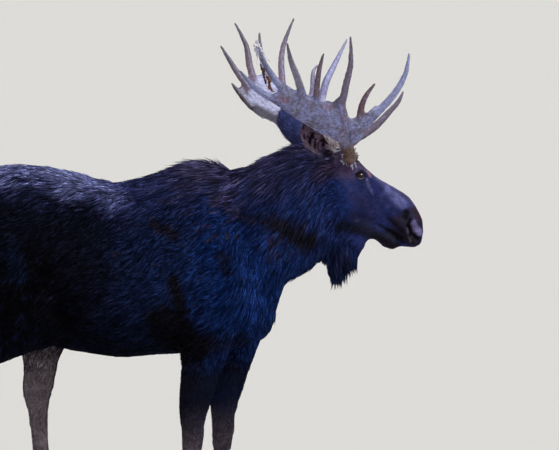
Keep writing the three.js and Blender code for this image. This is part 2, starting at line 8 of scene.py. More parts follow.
import bmesh
import bpy
import numpy as np
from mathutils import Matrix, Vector


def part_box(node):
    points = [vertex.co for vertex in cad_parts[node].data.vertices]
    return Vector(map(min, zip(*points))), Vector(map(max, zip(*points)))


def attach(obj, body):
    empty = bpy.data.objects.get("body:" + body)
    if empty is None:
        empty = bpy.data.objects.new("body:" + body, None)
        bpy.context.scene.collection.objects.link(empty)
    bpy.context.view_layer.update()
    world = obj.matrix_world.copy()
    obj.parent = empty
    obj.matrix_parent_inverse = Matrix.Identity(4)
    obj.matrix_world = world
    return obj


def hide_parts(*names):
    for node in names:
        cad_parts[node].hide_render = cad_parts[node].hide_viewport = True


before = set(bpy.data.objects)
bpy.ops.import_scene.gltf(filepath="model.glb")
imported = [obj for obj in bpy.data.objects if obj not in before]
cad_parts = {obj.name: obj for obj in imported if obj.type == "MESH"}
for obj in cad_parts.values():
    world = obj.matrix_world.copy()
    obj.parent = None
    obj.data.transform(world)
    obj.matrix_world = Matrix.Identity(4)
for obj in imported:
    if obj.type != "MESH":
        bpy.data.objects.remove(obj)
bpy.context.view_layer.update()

# ------------------------------------------------------------------ the skin
# Real piece: the hide of the whole animal, one unbroken surface over flesh and bone.
# Made by wrapping the flesh of the frame in one net of small faces, which is then
# smoothed, drawn in by the depth of the coat, and modelled in the soft places.

FLESH = ["trunk", "tail", "neck", "head", "bell"] + [
    f"leg_{end}_{side}_{half}"
    for end in ("front", "hind")
    for side in ("left", "right")
    for half in ("upper", "lower")
]
BODY_NET = 0.0155
SWELL = 0.0015                        # the parts are swollen by this, so that they meet
rng = np.random.default_rng(11)


def read_mesh(mesh):
    """Points (N, 3), triangles (M, 3) and edges (K, 2) of a mesh, as arrays."""
    points = np.empty(len(mesh.vertices) * 3)
    mesh.vertices.foreach_get("co", points)
    mesh.calc_loop_triangles()
    triangles = np.empty(len(mesh.loop_triangles) * 3, np.int32)
    mesh.loop_triangles.foreach_get("vertices", triangles)
    edges = np.empty(len(mesh.edges) * 2, np.int32)
    mesh.edges.foreach_get("vertices", edges)
    return points.reshape(-1, 3), triangles.reshape(-1, 3), edges.reshape(-1, 2)


def write_mesh(name, points, faces):
    """A new smooth-shaded object from points (N, 3) and faces (M, 3 or 4)."""
    sides = faces.shape[1]
    mesh = bpy.data.meshes.new(name)
    mesh.vertices.add(len(points))
    mesh.vertices.foreach_set("co", np.ascontiguousarray(points, np.float32).ravel())
    mesh.loops.add(faces.size)
    mesh.loops.foreach_set("vertex_index", np.ascontiguousarray(faces, np.int32).ravel())
    mesh.polygons.add(len(faces))
    mesh.polygons.foreach_set("loop_start", np.arange(0, faces.size, sides, dtype=np.int32))
    mesh.update(calc_edges=True)
    mesh.shade_smooth()
    made = bpy.data.objects.new(name, mesh)
    bpy.context.scene.collection.objects.link(made)
    return made


def gather(index, values, size):
    """Sum of the rows of values that share an index, as an array of that size."""
    return np.stack([np.bincount(index, column, size) for column in values.T], axis=1)


def unit(vectors):
    """Vectors of length one."""
    return vectors / np.maximum(np.linalg.norm(vectors, axis=-1, keepdims=True), 1e-12)


def point_normals(points, triangles):
    """Outward direction at each point: the sum of its faces' area vectors."""
    a, b, c = (points[triangles[:, k]] for k in range(3))
    area = np.cross(b - a, c - a)
    total = sum(gather(triangles[:, k], area, len(points)) for k in range(3))
    return unit(total)


def merged(node, swell):
    """A frame node's points and faces with doubles merged, moved outwards by swell."""
    points, triangles, _ = read_mesh(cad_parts[node].data)
    _, first, index = np.unique(np.round(points, 5), axis=0, return_index=True, return_inverse=True)
    points, triangles = points[first], index.ravel()[triangles]
    return points + swell * point_normals(points, triangles), triangles


def neighbours(edges, size):
    """Table of each point's neighbours, a row each, filled up with the point itself."""
    pairs = np.vstack([edges, edges[:, ::-1]])
    pairs = pairs[np.argsort(pairs[:, 0], kind="stable")]
    count = np.bincount(pairs[:, 0], minlength=size)
    column = np.arange(len(pairs)) - np.repeat(np.cumsum(count) - count, count)
    table = np.tile(np.arange(size)[:, None], (1, count.max()))
    table[pairs[:, 0], column] = pairs[:, 1]
    return table


def drop_crumbs(mesh, least=0.02):
    """Removes shells with less than that share of the mesh's points."""
    size = len(mesh.vertices)
    table = neighbours(read_mesh(mesh)[2], size)
    label = np.arange(size)
    while True:
        lowest = label[table].min(axis=1)
        lowest = lowest[lowest]
        if (lowest == label).all():
            break
        label = lowest
    small = np.bincount(label, minlength=size)[label] < least * size
    if small.any():
        work = bmesh.new()
        work.from_mesh(mesh)
        work.verts.ensure_lookup_table()
        crumbs = [work.verts[int(k)] for k in np.flatnonzero(small)]
        bmesh.ops.delete(work, geom=crumbs, context="VERTS")
        work.to_mesh(mesh)
        work.free()


def joined_mesh(name, parts):
    """One object from parts = [(points, faces), ...], each part still closed in itself."""
    starts = np.cumsum([0] + [len(points) for points, _ in parts])
    faces = [faces + start for (_, faces), start in zip(parts, starts)]
    return write_mesh(name, np.vstack([points for points, _ in parts]), np.vstack(faces))


def apply_modifiers(piece):
    """Turns what the piece's modifiers make of its mesh into its own mesh."""
    graph = bpy.context.evaluated_depsgraph_get()
    made = bpy.data.meshes.new_from_object(piece.evaluated_get(graph))
    piece.modifiers.clear()
    old = piece.data
    piece.data = made
    bpy.data.meshes.remove(old)


def wrap(name, parts, net):
    """One closed net of faces, net across, round parts = [(points, triangles), ...]."""
    wrapped = joined_mesh(name, parts)
    shrink = wrapped.modifiers.new("wrap", "REMESH")
    shrink.mode = "VOXEL"
    shrink.voxel_size = net
    apply_modifiers(wrapped)
    drop_crumbs(wrapped.data)
    return wrapped


def relaxed(points, edges, rounds, keep=1.04, amount=0.55, weight=1.0):
    """Points pulled to the mean of their neighbours, then pushed back keep times as far.

    Small bumps go and the bulk stays; with keep 0 it is plain smoothing, which shrinks.
    """
    a, b = edges.T
    size = len(points)
    count = np.bincount(edges.ravel(), minlength=size)[:, None]
    for _ in range(rounds):
        for step in (amount, -amount * keep):
            if step:
                mean = (gather(a, points[b], size) + gather(b, points[a], size)) / count
                points = points + step * weight * (mean - points)
    return points


def ramp(value, start, end):
    """0 before start, 1 past end, and a smooth S between them."""
    t = np.clip((value - start) / (end - start), 0, 1)
    return t * t * (3 - 2 * t)


# Places on the head are given from the point between the eyes: ahead, left and up.
eye_middle = {side: np.mean([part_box(f"eye_{side}")[0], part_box(f"eye_{side}")[1]], axis=0)
              for side in ("left", "right")}
head_point = (eye_middle["left"] + eye_middle["right"]) / 2
head_left = unit(eye_middle["left"] - eye_middle["right"])
head_ahead = np.array([head_left[1], -head_left[0], 0.0])
head_up = np.array([0.0, 0.0, 1.0])
head_axes = np.stack([head_ahead, head_left, head_up])


def in_head(points):
    """Ahead, left and up of the point between the eyes."""
    return (points - head_point) @ head_axes.T


skin = wrap("skin", [merged(node, SWELL) for node in FLESH + ["eye_left", "eye_right"]], BODY_NET)
points, triangles, edges = read_mesh(skin.data)
points = relaxed(points, edges, rounds=24)


def face_amount(points):
    """1 on the head, 0 on the neck and the bell."""
    ahead, _, up = in_head(points).T
    before_neck = ramp(ahead + 0.25 * np.minimum(up + 0.05, 0), -0.24, -0.06)
    over_bell = ramp(up + 0.9 * np.minimum(ahead, 0.0), -0.42, -0.34)
    return before_neck * over_bell


def refine(mesh, wanted):
    """Cuts in four each face whose centre satisfies wanted(points)."""
    work = bmesh.new()
    work.from_mesh(mesh)
    centres = np.array([face.calc_center_median()[:] for face in work.faces])
    chosen = wanted(centres)
    faces = [face for face, use in zip(work.faces, chosen) if use]
    cuts = list({edge for face in faces for edge in face.edges})
    bmesh.ops.subdivide_edges(work, edges=cuts, cuts=1, use_grid_fill=True)
    work.to_mesh(mesh)
    work.free()


def near_features(points):
    """Round the eyes, nostrils and mouth, where the modelling is finest."""
    ahead, left, up = in_head(points).T
    eyes = (np.hypot(ahead, up) < 0.036) & (np.abs(left) > 0.05)
    nostrils = (ahead > 0.21) & (up < -0.20) & (np.abs(left) > 0.03)
    mouth = (ahead > 0.12) & (np.abs(up + 0.30 + 0.25 * (ahead - 0.15)) < 0.03) & (ahead < 0.24)
    return eyes | nostrils | mouth


skin.data.vertices.foreach_set("co", points.ravel())
refine(skin.data, lambda centres: face_amount(centres) > 0.02)
refine(skin.data, lambda centres: (face_amount(centres) > 0.5) & (in_head(centres)[:, 0] > -0.10))
refine(skin.data, near_features)
points, triangles, edges = read_mesh(skin.data)
points = relaxed(points, edges, rounds=14, weight=ramp(face_amount(points), 0.1, 0.5)[:, None])

# The top line of the back and neck: the highest point near each station along the body.
STATIONS = np.linspace(-1.10, 0.80, 39)
line_points = points[np.abs(points[:, 1]) < 0.35]
TOP_LINE = np.array([line_points[np.abs(line_points[:, 0] - x) < 0.05][:, 2].max() for x in STATIONS])


def below_top(points):
    """How far a point is under the top line of back and neck."""
    return np.interp(points[:, 0], STATIONS, TOP_LINE) - points[:, 2]


def leg_amount(points):
    """1 on the lower legs, 0 on the body."""
    return 1 - ramp(points[:, 2], 0.62, 0.86)


def bell_amount(points):
    """1 on the hanging bell of the throat."""
    ahead, _, up = in_head(points).T
    under_throat = (1 - ramp(up, -0.36, -0.26)) * ramp(ahead, -0.24, -0.16)
    return under_throat * (1 - ramp(ahead, 0.10, 0.16)) * (1 - face_amount(points))


def mane_amount(points):
    """1 along the crest of withers and neck, where the hair is longest."""
    along = ramp(points[:, 0], -0.42, -0.10) * (1 - face_amount(points))
    return along * (1 - ramp(below_top(points), 0.05, 0.34))


BODY_COAT = 0.013
LEG_COAT = 0.005
FACE_COAT = 0.0035


def coat_depth(points):
    """How deep the coat is over the skin: on the body, and more under mane and bell."""
    depth = BODY_COAT + 0.014 * mane_amount(points) + 0.004 * bell_amount(points)
    depth = depth + (LEG_COAT - depth) * leg_amount(points)
    return depth + (FACE_COAT - depth) * face_amount(points)


normals = point_normals(points, triangles)
points = points - normals * coat_depth(points)[:, None]
points = relaxed(points, edges, rounds=3)


def stroke(points, start, end, radius):
    """How near points are to the line start-end: 1 on it, fading as a bell curve."""
    start, end = np.asarray(start, float), np.asarray(end, float)
    line = end - start
    t = np.clip((points - start) @ line / max(line @ line, 1e-12), 0, 1)[:, None]
    return np.exp(-np.sum((points - start - t * line) ** 2, axis=1) / radius ** 2)


# Hollows and ridges of the body: start, end, radius and height, on both sides. The last
# one is on the middle line, so it counts twice.
BODY_FORMS = [
    ((-0.02, 0.30, 1.26), (-0.06, 0.24, 0.97), 0.060, -0.016),  # behind the elbow
    ((0.26, 0.24, 1.62), (0.34, 0.20, 1.20), 0.050, -0.010),    # neck meets shoulder
    ((0.10, 0.30, 1.55), (0.22, 0.28, 1.22), 0.070, 0.010),     # shoulder blade
    ((0.16, 0.28, 1.14), (0.02, 0.28, 1.06), 0.060, 0.010),     # elbow
    ((-0.74, 0.28, 1.22), (-0.60, 0.26, 1.00), 0.045, -0.012),  # flank fold
    ((-0.92, 0.24, 1.62), (-0.78, 0.26, 1.56), 0.080, 0.010),   # hip
    ((-0.70, 0.26, 1.52), (-0.62, 0.28, 1.30), 0.090, -0.010),  # hollow before the hip
    ((0.17, 0.0, 1.81), (0.25, 0.0, 1.82), 0.050, 0.006),       # dip before the withers, filled
]
normals = point_normals(points, triangles)
lift = np.zeros(len(points))
for start, end, radius, height in BODY_FORMS:
    for sign in (1, -1):
        flip = np.array([1, sign, 1])
        lift += height * stroke(points, start * flip, end * flip, radius)

# Folds and forms of the face, from the point between the eyes: start, end, radius, height.
FACE_FORMS = [
    ((0.000, 0.115, 0.040), (0.034, 0.100, 0.028), 0.016, 0.0060),      # brow over the eye
    ((-0.035, 0.112, 0.030), (0.000, 0.115, 0.040), 0.016, 0.0040),
    ((0.032, 0.100, -0.014), (0.062, 0.088, -0.085), 0.012, 0.0050),    # ridge before the tear pit
    ((0.022, 0.104, -0.022), (0.046, 0.096, -0.060), 0.009, -0.0045),   # tear pit
    ((-0.030, 0.118, -0.030), (0.016, 0.112, -0.040), 0.014, 0.0030),   # bag under the eye
    ((-0.070, 0.110, -0.060), (0.060, 0.100, -0.140), 0.030, 0.0050),   # cheek bone
    ((-0.020, 0.110, -0.160), (-0.080, 0.100, -0.235), 0.045, 0.0060),  # jaw muscle
    ((0.070, 0.090, -0.160), (0.120, 0.080, -0.215), 0.035, -0.0060),   # hollow of the cheek
    ((0.140, 0.075, -0.208), (0.206, 0.080, -0.280), 0.010, -0.0060),   # fold behind the nostril
    ((0.165, 0.075, -0.200), (0.215, 0.080, -0.250), 0.016, 0.0040),
    ((0.230, 0.080, -0.186), (0.224, 0.080, -0.210), 0.015, -0.0080),   # dimple over the nostril
    ((0.249, 0.080, -0.222), (0.236, 0.085, -0.254), 0.008, -0.0080),   # nostril slit
    ((0.236, 0.085, -0.254), (0.246, 0.085, -0.292), 0.009, -0.0100),
    ((0.252, 0.085, -0.300), (0.286, 0.075, -0.318), 0.014, -0.0200),   # nostril opening
    ((0.266, 0.080, -0.232), (0.298, 0.065, -0.282), 0.014, 0.0070),    # wing of the nostril
    ((0.222, 0.082, -0.262), (0.240, 0.084, -0.320), 0.009, 0.0050),    # rim behind the slit
    ((0.090, 0.070, -0.245), (0.151, 0.066, -0.276), 0.007, -0.0080),   # line of the mouth
    ((0.151, 0.066, -0.280), (0.200, 0.062, -0.316), 0.013, -0.0170),
    ((0.200, 0.060, -0.318), (0.228, 0.052, -0.340), 0.009, -0.0130),
    ((0.222, 0.052, -0.338), (0.262, 0.000, -0.352), 0.009, -0.0090),
    ((0.120, 0.068, -0.245), (0.200, 0.066, -0.292), 0.012, 0.0035),    # lip above the mouth
    ((0.110, 0.060, -0.300), (0.165, 0.050, -0.338), 0.012, 0.0035),    # lip below it
    ((0.305, 0.000, -0.240), (0.305, 0.000, -0.300), 0.010, -0.0040),   # groove of the nose
    ((0.060, 0.000, -0.010), (0.240, 0.000, -0.120), 0.030, 0.0030),    # bridge of the nose
]
# The muzzle and chin drawn out to their full outline: start, end, move and radius.
MUZZLE_REACH = [
    ((0.275, 0, -0.320), (0.240, 0, -0.335), (0.020, 0, -0.020), 0.040),
    ((0.130, 0, -0.335), (0.165, 0, -0.345), (0.004, 0, -0.017), 0.032),
    ((0.315, 0, -0.230), (0.315, 0, -0.280), (0.008, 0, 0.000), 0.040),
]
ACROSS = 0.4                          # a form's distance across the head counts this much
for start, end, move, radius in MUZZLE_REACH:
    reach = stroke(in_head(points) * [1, 0, 1], start, end, radius) * face_amount(points)
    points = points + reach[:, None] * (np.array(move) @ head_axes)
place = in_head(points)
for start, end, radius, height in FACE_FORMS:
    middle = start[1] == 0
    for sign in (1,) if middle else (1, -1):
        flip = np.array([1, sign * ACROSS, 1])
        sideways = 1.0 if middle else ramp(sign * (normals @ head_left), 0.10, 0.55)
        lift += height * sideways * stroke(place * [1, ACROSS, 1], start * flip, end * flip, radius)
points = points + normals * lift[:, None]

# Lids: round each eyeball the skin is held just off the ball, and inside the
# almond of the opening it is drawn in behind the ball.
EYEBALL = 0.0205                      # its radius
LID = 0.0022                          # the lids lie this far over the ball
SUNK = 0.007                          # inside the opening the skin is this far behind it
OPENING = (0.0178, 0.0088)            # half length and half height
EYE_SLANT = -0.32                     # the front corner is the lower one


def eye_opening(place):
    """0 at the middle of the eye opening, 1 on its edge, more outside: a pointed almond."""
    ahead = place[:, 0] * np.cos(EYE_SLANT) + place[:, 2] * np.sin(EYE_SLANT)
    up = place[:, 2] * np.cos(EYE_SLANT) - place[:, 0] * np.sin(EYE_SLANT)
    return (ahead / OPENING[0]) ** 2 + np.sqrt(up ** 2 + 1e-6) / OPENING[1]


place = in_head(points)
opening = eye_opening(place)
for side, sign in (("left", 1), ("right", -1)):
    offset = points - eye_middle[side]
    distance = np.linalg.norm(offset, axis=1)
    outer = (place[:, 1] * sign > 0.04) & (opening < 3.2)
    over_lid = (EYEBALL + LID - distance) * (1 - ramp(opening, 1.6, 2.6))
    behind = EYEBALL - SUNK - distance
    inside = 1 - ramp(opening, 0.90, 1.08)
    near = 1 - ramp(opening, 1.25, 2.2)
    move = np.where(distance < EYEBALL + LID, over_lid, over_lid * near)
    move = (1 - inside) * move + inside * behind
    points = points + np.where(outer, move, 0)[:, None] * offset / distance[:, None]

# The crease of the upper lid, and a weaker one under the eye.
place = in_head(points)
lid_fold = np.exp(-((opening - 1.75) / 0.22) ** 2) * ramp(place[:, 2], -0.004, 0.012)
lid_fold += 0.6 * np.exp(-((opening - 1.65) / 0.2) ** 2) * ramp(-place[:, 2], 0.004, 0.014)
near_eye = (np.abs(place[:, 1]) > 0.05) & (opening < 3)
points = points - point_normals(points, triangles) * (0.0018 * lid_fold * near_eye)[:, None]
skin.data.vertices.foreach_set("co", points.ravel())

# ------------------------------------------------------------------ the ears
# Real piece: a leaf of gristle under thin hide, rolled into a cup that narrows
# to a tube at its root. Each is a closed cup of rings, joined into the skin.

# Root and tip from the point between the eyes, the way the cup opens, half the width.
EARS = {
    "left": ((-0.164, 0.100, 0.096), (-0.338, 0.251, 0.293), (0.25, 0.9, -0.1), 0.081),
    "right": ((-0.148, -0.104, 0.104), (-0.310, -0.281, 0.264), (0.35, -0.75, -0.45), 0.066),
}
EAR_RINGS = 34
EAR_SIDES = 40


def ear_frame(side):
    """Root, line to the tip, way across, open side and half width of an ear, all in the frame."""
    root, tip, open_side, half = EARS[side]
    start = head_point + np.array(root) @ head_axes
    line = (np.array(tip) - root) @ head_axes
    facing = np.array(open_side) @ head_axes
    facing = unit(facing - facing @ unit(line) * unit(line))
    return start, line, np.cross(unit(line), facing), facing, half


def ear_half(u, half):
    """Half the width of the leaf: narrow root, widest past the middle, pointed tip."""
    return half * (0.42 + 1.28 * u - 0.45 * u ** 2) * np.sqrt(np.maximum(1 - u ** 3.2, 0.0004))


def full_turn(sides):
    """Angles of that many sides, evenly round once."""
    return np.linspace(0, 2 * np.pi, sides, endpoint=False)


def ear_cup(side):
    """The ear as rings (u along it) of points (turn round the leaf's own section).

    The leaf's middle lies deepest, 1 - reach^2 of the cup's depth behind its two edges,
    and its two faces are a wall apart, thinner towards the tip.
    """
    start, line, across, facing, half = ear_frame(side)
    u, turn = np.meshgrid(np.linspace(0, 1, EAR_RINGS), full_turn(EAR_SIDES), indexing="ij")
    width = ear_half(u, half)
    cup = width * (0.98 - 0.55 * u)
    wall = (0.0048 - 0.0022 * u) * (1 + 0.35 * np.cos(3 * turn) * u)
    ripple = 0.0016 * np.sin(9 * u + 2 * np.cos(turn))
    reach = np.cos(turn)
    depth = -cup * (1 - reach ** 2) + 0.5 * cup - wall * np.sin(turn) + ripple
    return (start + u[..., None] * line + (width * reach)[..., None] * across
            + depth[..., None] * facing).reshape(-1, 3)


def ring_faces(rings, sides):
    """Quads between neighbouring rings, as pairs of triangles, and fans over the two ends."""
    i, j = np.meshgrid(np.arange(rings - 1), np.arange(sides), indexing="ij")
    a, b = i * sides + j, i * sides + (j + 1) % sides
    c, d = b + sides, a + sides
    k = np.arange(1, sides - 1)
    hub = np.zeros_like(k)
    last = (rings - 1) * sides
    return np.vstack([
        np.stack([a, b, c], -1).reshape(-1, 3),
        np.stack([a, c, d], -1).reshape(-1, 3),
        np.stack([hub, k + 1, k], -1),
        np.stack([hub, k, k + 1], -1) + last,
    ])


def facing_out(points, faces):
    """The faces, turned round if the closed shape they make is inside out."""
    a, b, c = (points[faces[:, k]] for k in range(3))
    return faces if np.sum(a * np.cross(b, c)) > 0 else faces[:, ::-1]


for side in ("left", "right"):
    cup_points = ear_cup(side)
    cup_faces = facing_out(cup_points, ring_faces(EAR_RINGS, EAR_SIDES))
    ear = write_mesh(f"ear_{side}_form", cup_points, cup_faces)
    union = skin.modifiers.new("ear", "BOOLEAN")
    union.operation = "UNION"
    union.solver = "MANIFOLD"
    union.object = ear
    apply_modifiers(skin)
    bpy.data.objects.remove(ear)

# The seam round the root of each ear is smoothed into the head.
points, triangles, edges = read_mesh(skin.data)
root_weight = 0
for side in ("left", "right"):
    start, line, *_ = ear_frame(side)
    root_weight = root_weight + stroke(points, start, start + 0.1 * line, 0.035)
points = relaxed(points, edges, rounds=6, keep=0.5, weight=np.clip(root_weight, 0, 1)[:, None])
skin.data.vertices.foreach_set("co", points.ravel())
skin.data.update()

# ------------------------------------------------------- markings of the hide, with painted light and shade
# Real piece: the colours of skin and hair, which are the same: near black, with the
# cold blue sheen of the sky painted into them, frosted along the back with painted top
# light there, brown at the withers and nose, grey-brown below the knees. Painted shade
# darkens hollows, folds and openings, and painted highlights lie on ridges, brow and
# muzzle. Both the skin and every tuft ask paint() for theirs.

LATTICE = 32
lattice = rng.random((LATTICE, LATTICE, LATTICE))


def cloud(points, size, shift=0.0):
    """Soft random values, 0 to 1, that change over a distance of size.

    A lattice of random values, repeated in all directions and blended between its corners.
    """
    place = points / size + shift
    cell = np.floor(place).astype(int)
    part = place - cell
    part = part * part * (3 - 2 * part)
    total = 0
    for corner in np.ndindex(2, 2, 2):
        weight = np.prod(np.where(corner, part, 1 - part), axis=1)
        total = total + weight * lattice[tuple(((cell + corner) % LATTICE).T)]
    return total


def tone(red, green, blue):
    """A display colour, 0 to 255, as the linear light that a shader takes."""
    value = np.array([red, green, blue]) / 255
    return np.where(value <= 0.04045, value / 12.92, ((value + 0.055) / 1.055) ** 2.4)


def ear_place(points, side):
    """Along an ear 0 to 1, across it -1 to 1, and how far off its middle line."""
    start, line, across, _, half = ear_frame(side)
    u = (points - start) @ line / (line @ line)
    off = points - start - u[:, None] * line
    t = off @ across / ear_half(np.clip(u, 0, 0.98), half)
    return u, t, np.linalg.norm(off, axis=1)


def ear_amount(points, side):
    """1 on the free part of an ear."""
    u, t, off = ear_place(points, side)
    half = EARS[side][3]
    return ramp(u, 0.10, 0.22) * (off < half * 1.35) * (u < 1.1) * (np.abs(t) < 1.3)


def ear_tuft(points):
    """1 on the long pale hairs before the root of each ear."""
    place = in_head(points)
    beside = ramp(np.abs(place[:, 1]), 0.05, 0.08)
    return beside * stroke(place * [1, 0, 1], (-0.114, 0, 0.138), (-0.142, 0, 0.195), 0.034)


# Markings of each side of the body, along it and up: start, end, radius, colour, amount.
BODY_MARKS = [
    ((-0.70, 1.28), (-0.58, 1.16), 0.110, (6, 5, 7), 0.9),     # blackest of the thigh
    ((-0.84, 1.42), (-0.80, 1.32), 0.050, (17, 28, 56), 0.8),  # painted blue sheen below the rump
    ((0.18, 1.42), (0.22, 1.10), 0.090, (8, 47, 112), 0.8),    # painted blue sheen on the blade of the shoulder
    ((0.36, 1.42), (0.34, 1.14), 0.070, (30, 67, 146), 0.9),   # painted blue sheen on the chest
    ((0.34, 1.60), (0.44, 1.59), 0.035, (26, 22, 40), 0.8),    # behind the fold
    ((0.47, 1.57), (0.60, 1.49), 0.058, (14, 9, 13), 1.2),     # painted shade in the fold of the neck
    ((-0.12, 1.55), (-0.04, 1.50), 0.034, (24, 15, 19), 0.9),  # brown on the ribs
    ((0.18, 1.40), (0.21, 1.33), 0.030, (8, 12, 30), 0.8),     # painted shade in the hollow of the shoulder
    ((0.12, 0.98), (0.28, 0.98), 0.060, (9, 14, 32), 0.8),     # forearm, darker with painted shade between the forelegs
    ((-0.05, 1.29), (-0.01, 1.14), 0.036, (9, 6, 9), 1.2),     # painted shade above the elbow hollow
    ((-0.09, 1.08), (0.05, 0.96), 0.100, (7, 4, 5), 1.3),      # painted shade in the hollow of the elbow
    ((0.19, 1.68), (0.28, 1.60), 0.034, (36, 24, 32), 0.8),    # brown below the withers
]

# Markings of each side of the face, ahead and up from the point between the eyes:
# start, end, radius, colour and amount, later ones over earlier ones.
FACE_MARKS = [
    ((-0.170, 0.040), (-0.050, 0.030), 0.055, (84, 66, 96), 0.85),      # brown temple
    ((-0.150, 0.110), (-0.050, 0.100), 0.050, (66, 50, 70), 0.9),       # below the ear
    ((-0.140, -0.050), (-0.090, -0.210), 0.055, (20, 42, 104), 0.8),    # blue cheek, painted sky sheen
    ((-0.030, -0.100), (0.075, -0.165), 0.034, (54, 52, 96), 0.6),      # violet band
    ((0.075, -0.110), (0.165, -0.165), 0.045, (35, 43, 94), 0.7),       # before it
    ((-0.035, -0.195), (0.069, -0.227), 0.036, (26, 25, 50), 0.7),      # brown jowl
    ((-0.095, -0.236), (-0.020, -0.262), 0.034, (9, 12, 24), 0.9),      # painted shade in the hollow of the jaw
    ((0.010, -0.262), (0.140, -0.325), 0.036, (24, 20, 32), 0.9),       # lower jaw
    # painted highlight along the line of the jaw
    ((-0.070, -0.268), (0.040, -0.270), 0.012, (26, 24, 44), 0.6),
    ((0.070, -0.325), (0.185, -0.365), 0.040, (24, 18, 24), 1.0),       # chin
    ((0.150, -0.080), (0.210, -0.142), 0.030, (114, 116, 178), 0.75),   # painted highlight on the muzzle
    ((0.165, -0.064), (0.240, -0.112), 0.014, (64, 60, 94), 0.8),
    ((0.205, -0.235), (0.285, -0.275), 0.062, (40, 29, 48), 0.95),      # dark nose
    ((0.268, -0.180), (0.312, -0.218), 0.027, (52, 32, 42), 0.9),       # red-brown nose
    ((0.190, -0.290), (0.275, -0.335), 0.030, (30, 22, 26), 0.9),       # upper lip
    ((0.230, -0.186), (0.224, -0.212), 0.018, (9, 7, 11), 1.0),         # painted shade in the dimple
    ((0.262, -0.236), (0.298, -0.286), 0.017, (136, 128, 180), 0.90),   # painted highlight on the wing of the nostril
    ((0.249, -0.222), (0.236, -0.254), 0.009, (10, 8, 13), 1.0),        # painted shade in the slit
    ((0.241, -0.250), (0.262, -0.300), 0.009, (10, 8, 12), 1.0),
    ((0.234, -0.264), (0.253, -0.330), 0.006, (88, 76, 94), 0.85),      # rim behind the slit
    ((0.252, -0.300), (0.286, -0.318), 0.016, (8, 6, 9), 1.0),          # painted shade in the opening
    ((0.142, -0.211), (0.206, -0.280), 0.011, (18, 14, 25), 0.75),      # painted shade in the fold behind the nostril
    ((0.100, -0.247), (0.151, -0.276), 0.009, (12, 9, 14), 0.9),        # painted shade in the mouth
    ((0.151, -0.282), (0.202, -0.322), 0.021, (10, 8, 13), 0.9),
    ((0.021, -0.002), (0.025, -0.030), 0.005, (8, 8, 20), 0.9),         # tear line
    ((0.029, -0.018), (0.041, -0.050), 0.0075, (136, 128, 174), 0.80),  # painted highlight on the ridge before the eye
    ((0.041, -0.050), (0.060, -0.090), 0.010, (104, 104, 164), 0.60),
    ((0.014, -0.032), (0.026, -0.080), 0.015, (42, 54, 104), 0.8),      # tear pit
    ((0.040, 0.022), (0.054, -0.004), 0.009, (180, 136, 146), 0.75),    # painted highlight on the brow
    ((-0.050, 0.066), (0.016, 0.038), 0.028, (98, 84, 110), 0.8),       # forehead
    ((-0.172, 0.084), (-0.162, 0.074), 0.010, (140, 144, 200), 1.0),    # pale spot under the ear
]


def side_stroke(side, start, end, radius):
    """A stroke seen from the side: its ends are ahead and up, and side is points * [1, 0, 1]."""
    return stroke(side, (start[0], 0, start[1]), (end[0], 0, end[1]), radius)


def paint_body(points, lay, blotch, fine, hair):
    """Black thigh; flank, shoulder and neck blue with painted sky sheen; painted shade in hollows and folds;
    and the crest, with painted sheen, from frosted croup to withers.
    """
    x, _, z = points.T
    below = below_top(points)
    off_head = 1 - face_amount(points)
    low = 1 - ramp(below + 0.15 * blotch, 0.20, 0.42)
    flank_low = 1 - ramp(z + 0.08 * blotch, 0.95, 1.22)
    lay((10, 8, 14), (1 - ramp(x + 0.25 * blotch, -0.74, -0.44)) * (1 - low), 0.0)  # black thigh
    # The blue of flank, shoulder and neck is painted sky sheen over the near-black coat.
    lay((19, 41, 88), ramp(x + 0.1 * blotch, -0.48, -0.10), 0.10)                   # flank
    lay((17, 49, 112), ramp(x, -0.10, 0.20), 0.10)                                  # shoulder
    lay((32, 58, 126), ramp(x, 0.30, 0.48) * ramp(z, 1.30, 1.50), 0.20)             # side of the neck
    lay((13, 15, 26), 0.85 * flank_low * (1 - ramp(x, -0.05, 0.15)), 0.0)           # belly
    side = points * [1, 0, 1]
    for start, end, radius, shade, amount in BODY_MARKS:
        spot = side_stroke(side, start, end, radius)
        lay(shade, amount * ramp(spot + 0.35 * fine + 0.5 * hair, 0.05, 0.95))

    # Red-brown patches, the painted sheen of the crest and its violet part, and the frosted croup, paler
    # still with painted top light.
    patches = ramp(0.8 * blotch + 0.7 * fine + 1.0 * hair, 0.22, 0.60)
    patches = patches * (1 - ramp(below, 0.45, 0.70))
    lay((27, 18, 25), 0.8 * patches)
    crest = 1 - ramp(below + 0.10 * blotch - 0.06 * hair, 0.0, 0.18 + 0.07 * ramp(x, -0.5, -0.2))
    lay((58, 64, 122), 0.8 * crest * off_head, 0.4)
    lay((60, 44, 75), 0.75 * crest * ramp(x, -0.15, 0.10) * off_head, 0.4)
    # The croup's pale band is frost on the hair ends, with painted light from above.
    frost_and_top_light = 1 - ramp(below + 0.06 * blotch - 0.09 * hair, 0.01, 0.11 + 0.04 * ramp(x, -0.72, -0.52))
    lay((140, 146, 208), frost_and_top_light * (1 - ramp(x + 0.3 * blotch, -0.52, -0.20)), 0.9)

    # Brown and pale strands of the withers, and brown ones down the shoulder.
    withers = side_stroke(side, (0.08, 1.84), (0.22, 1.80), 0.13)
    lay((88, 80, 118), withers * ramp(hair + 0.7 * fine, -0.04, 0.26), 0.6)
    strands = ramp(0.5 * blotch + 0.7 * fine + 1.6 * hair, 0.25, 0.7)
    strands = strands * ramp(x, -0.3, 0.1) * (1 - ramp(below, 0.3, 0.5))
    lay((60, 46, 62), 0.7 * strands)


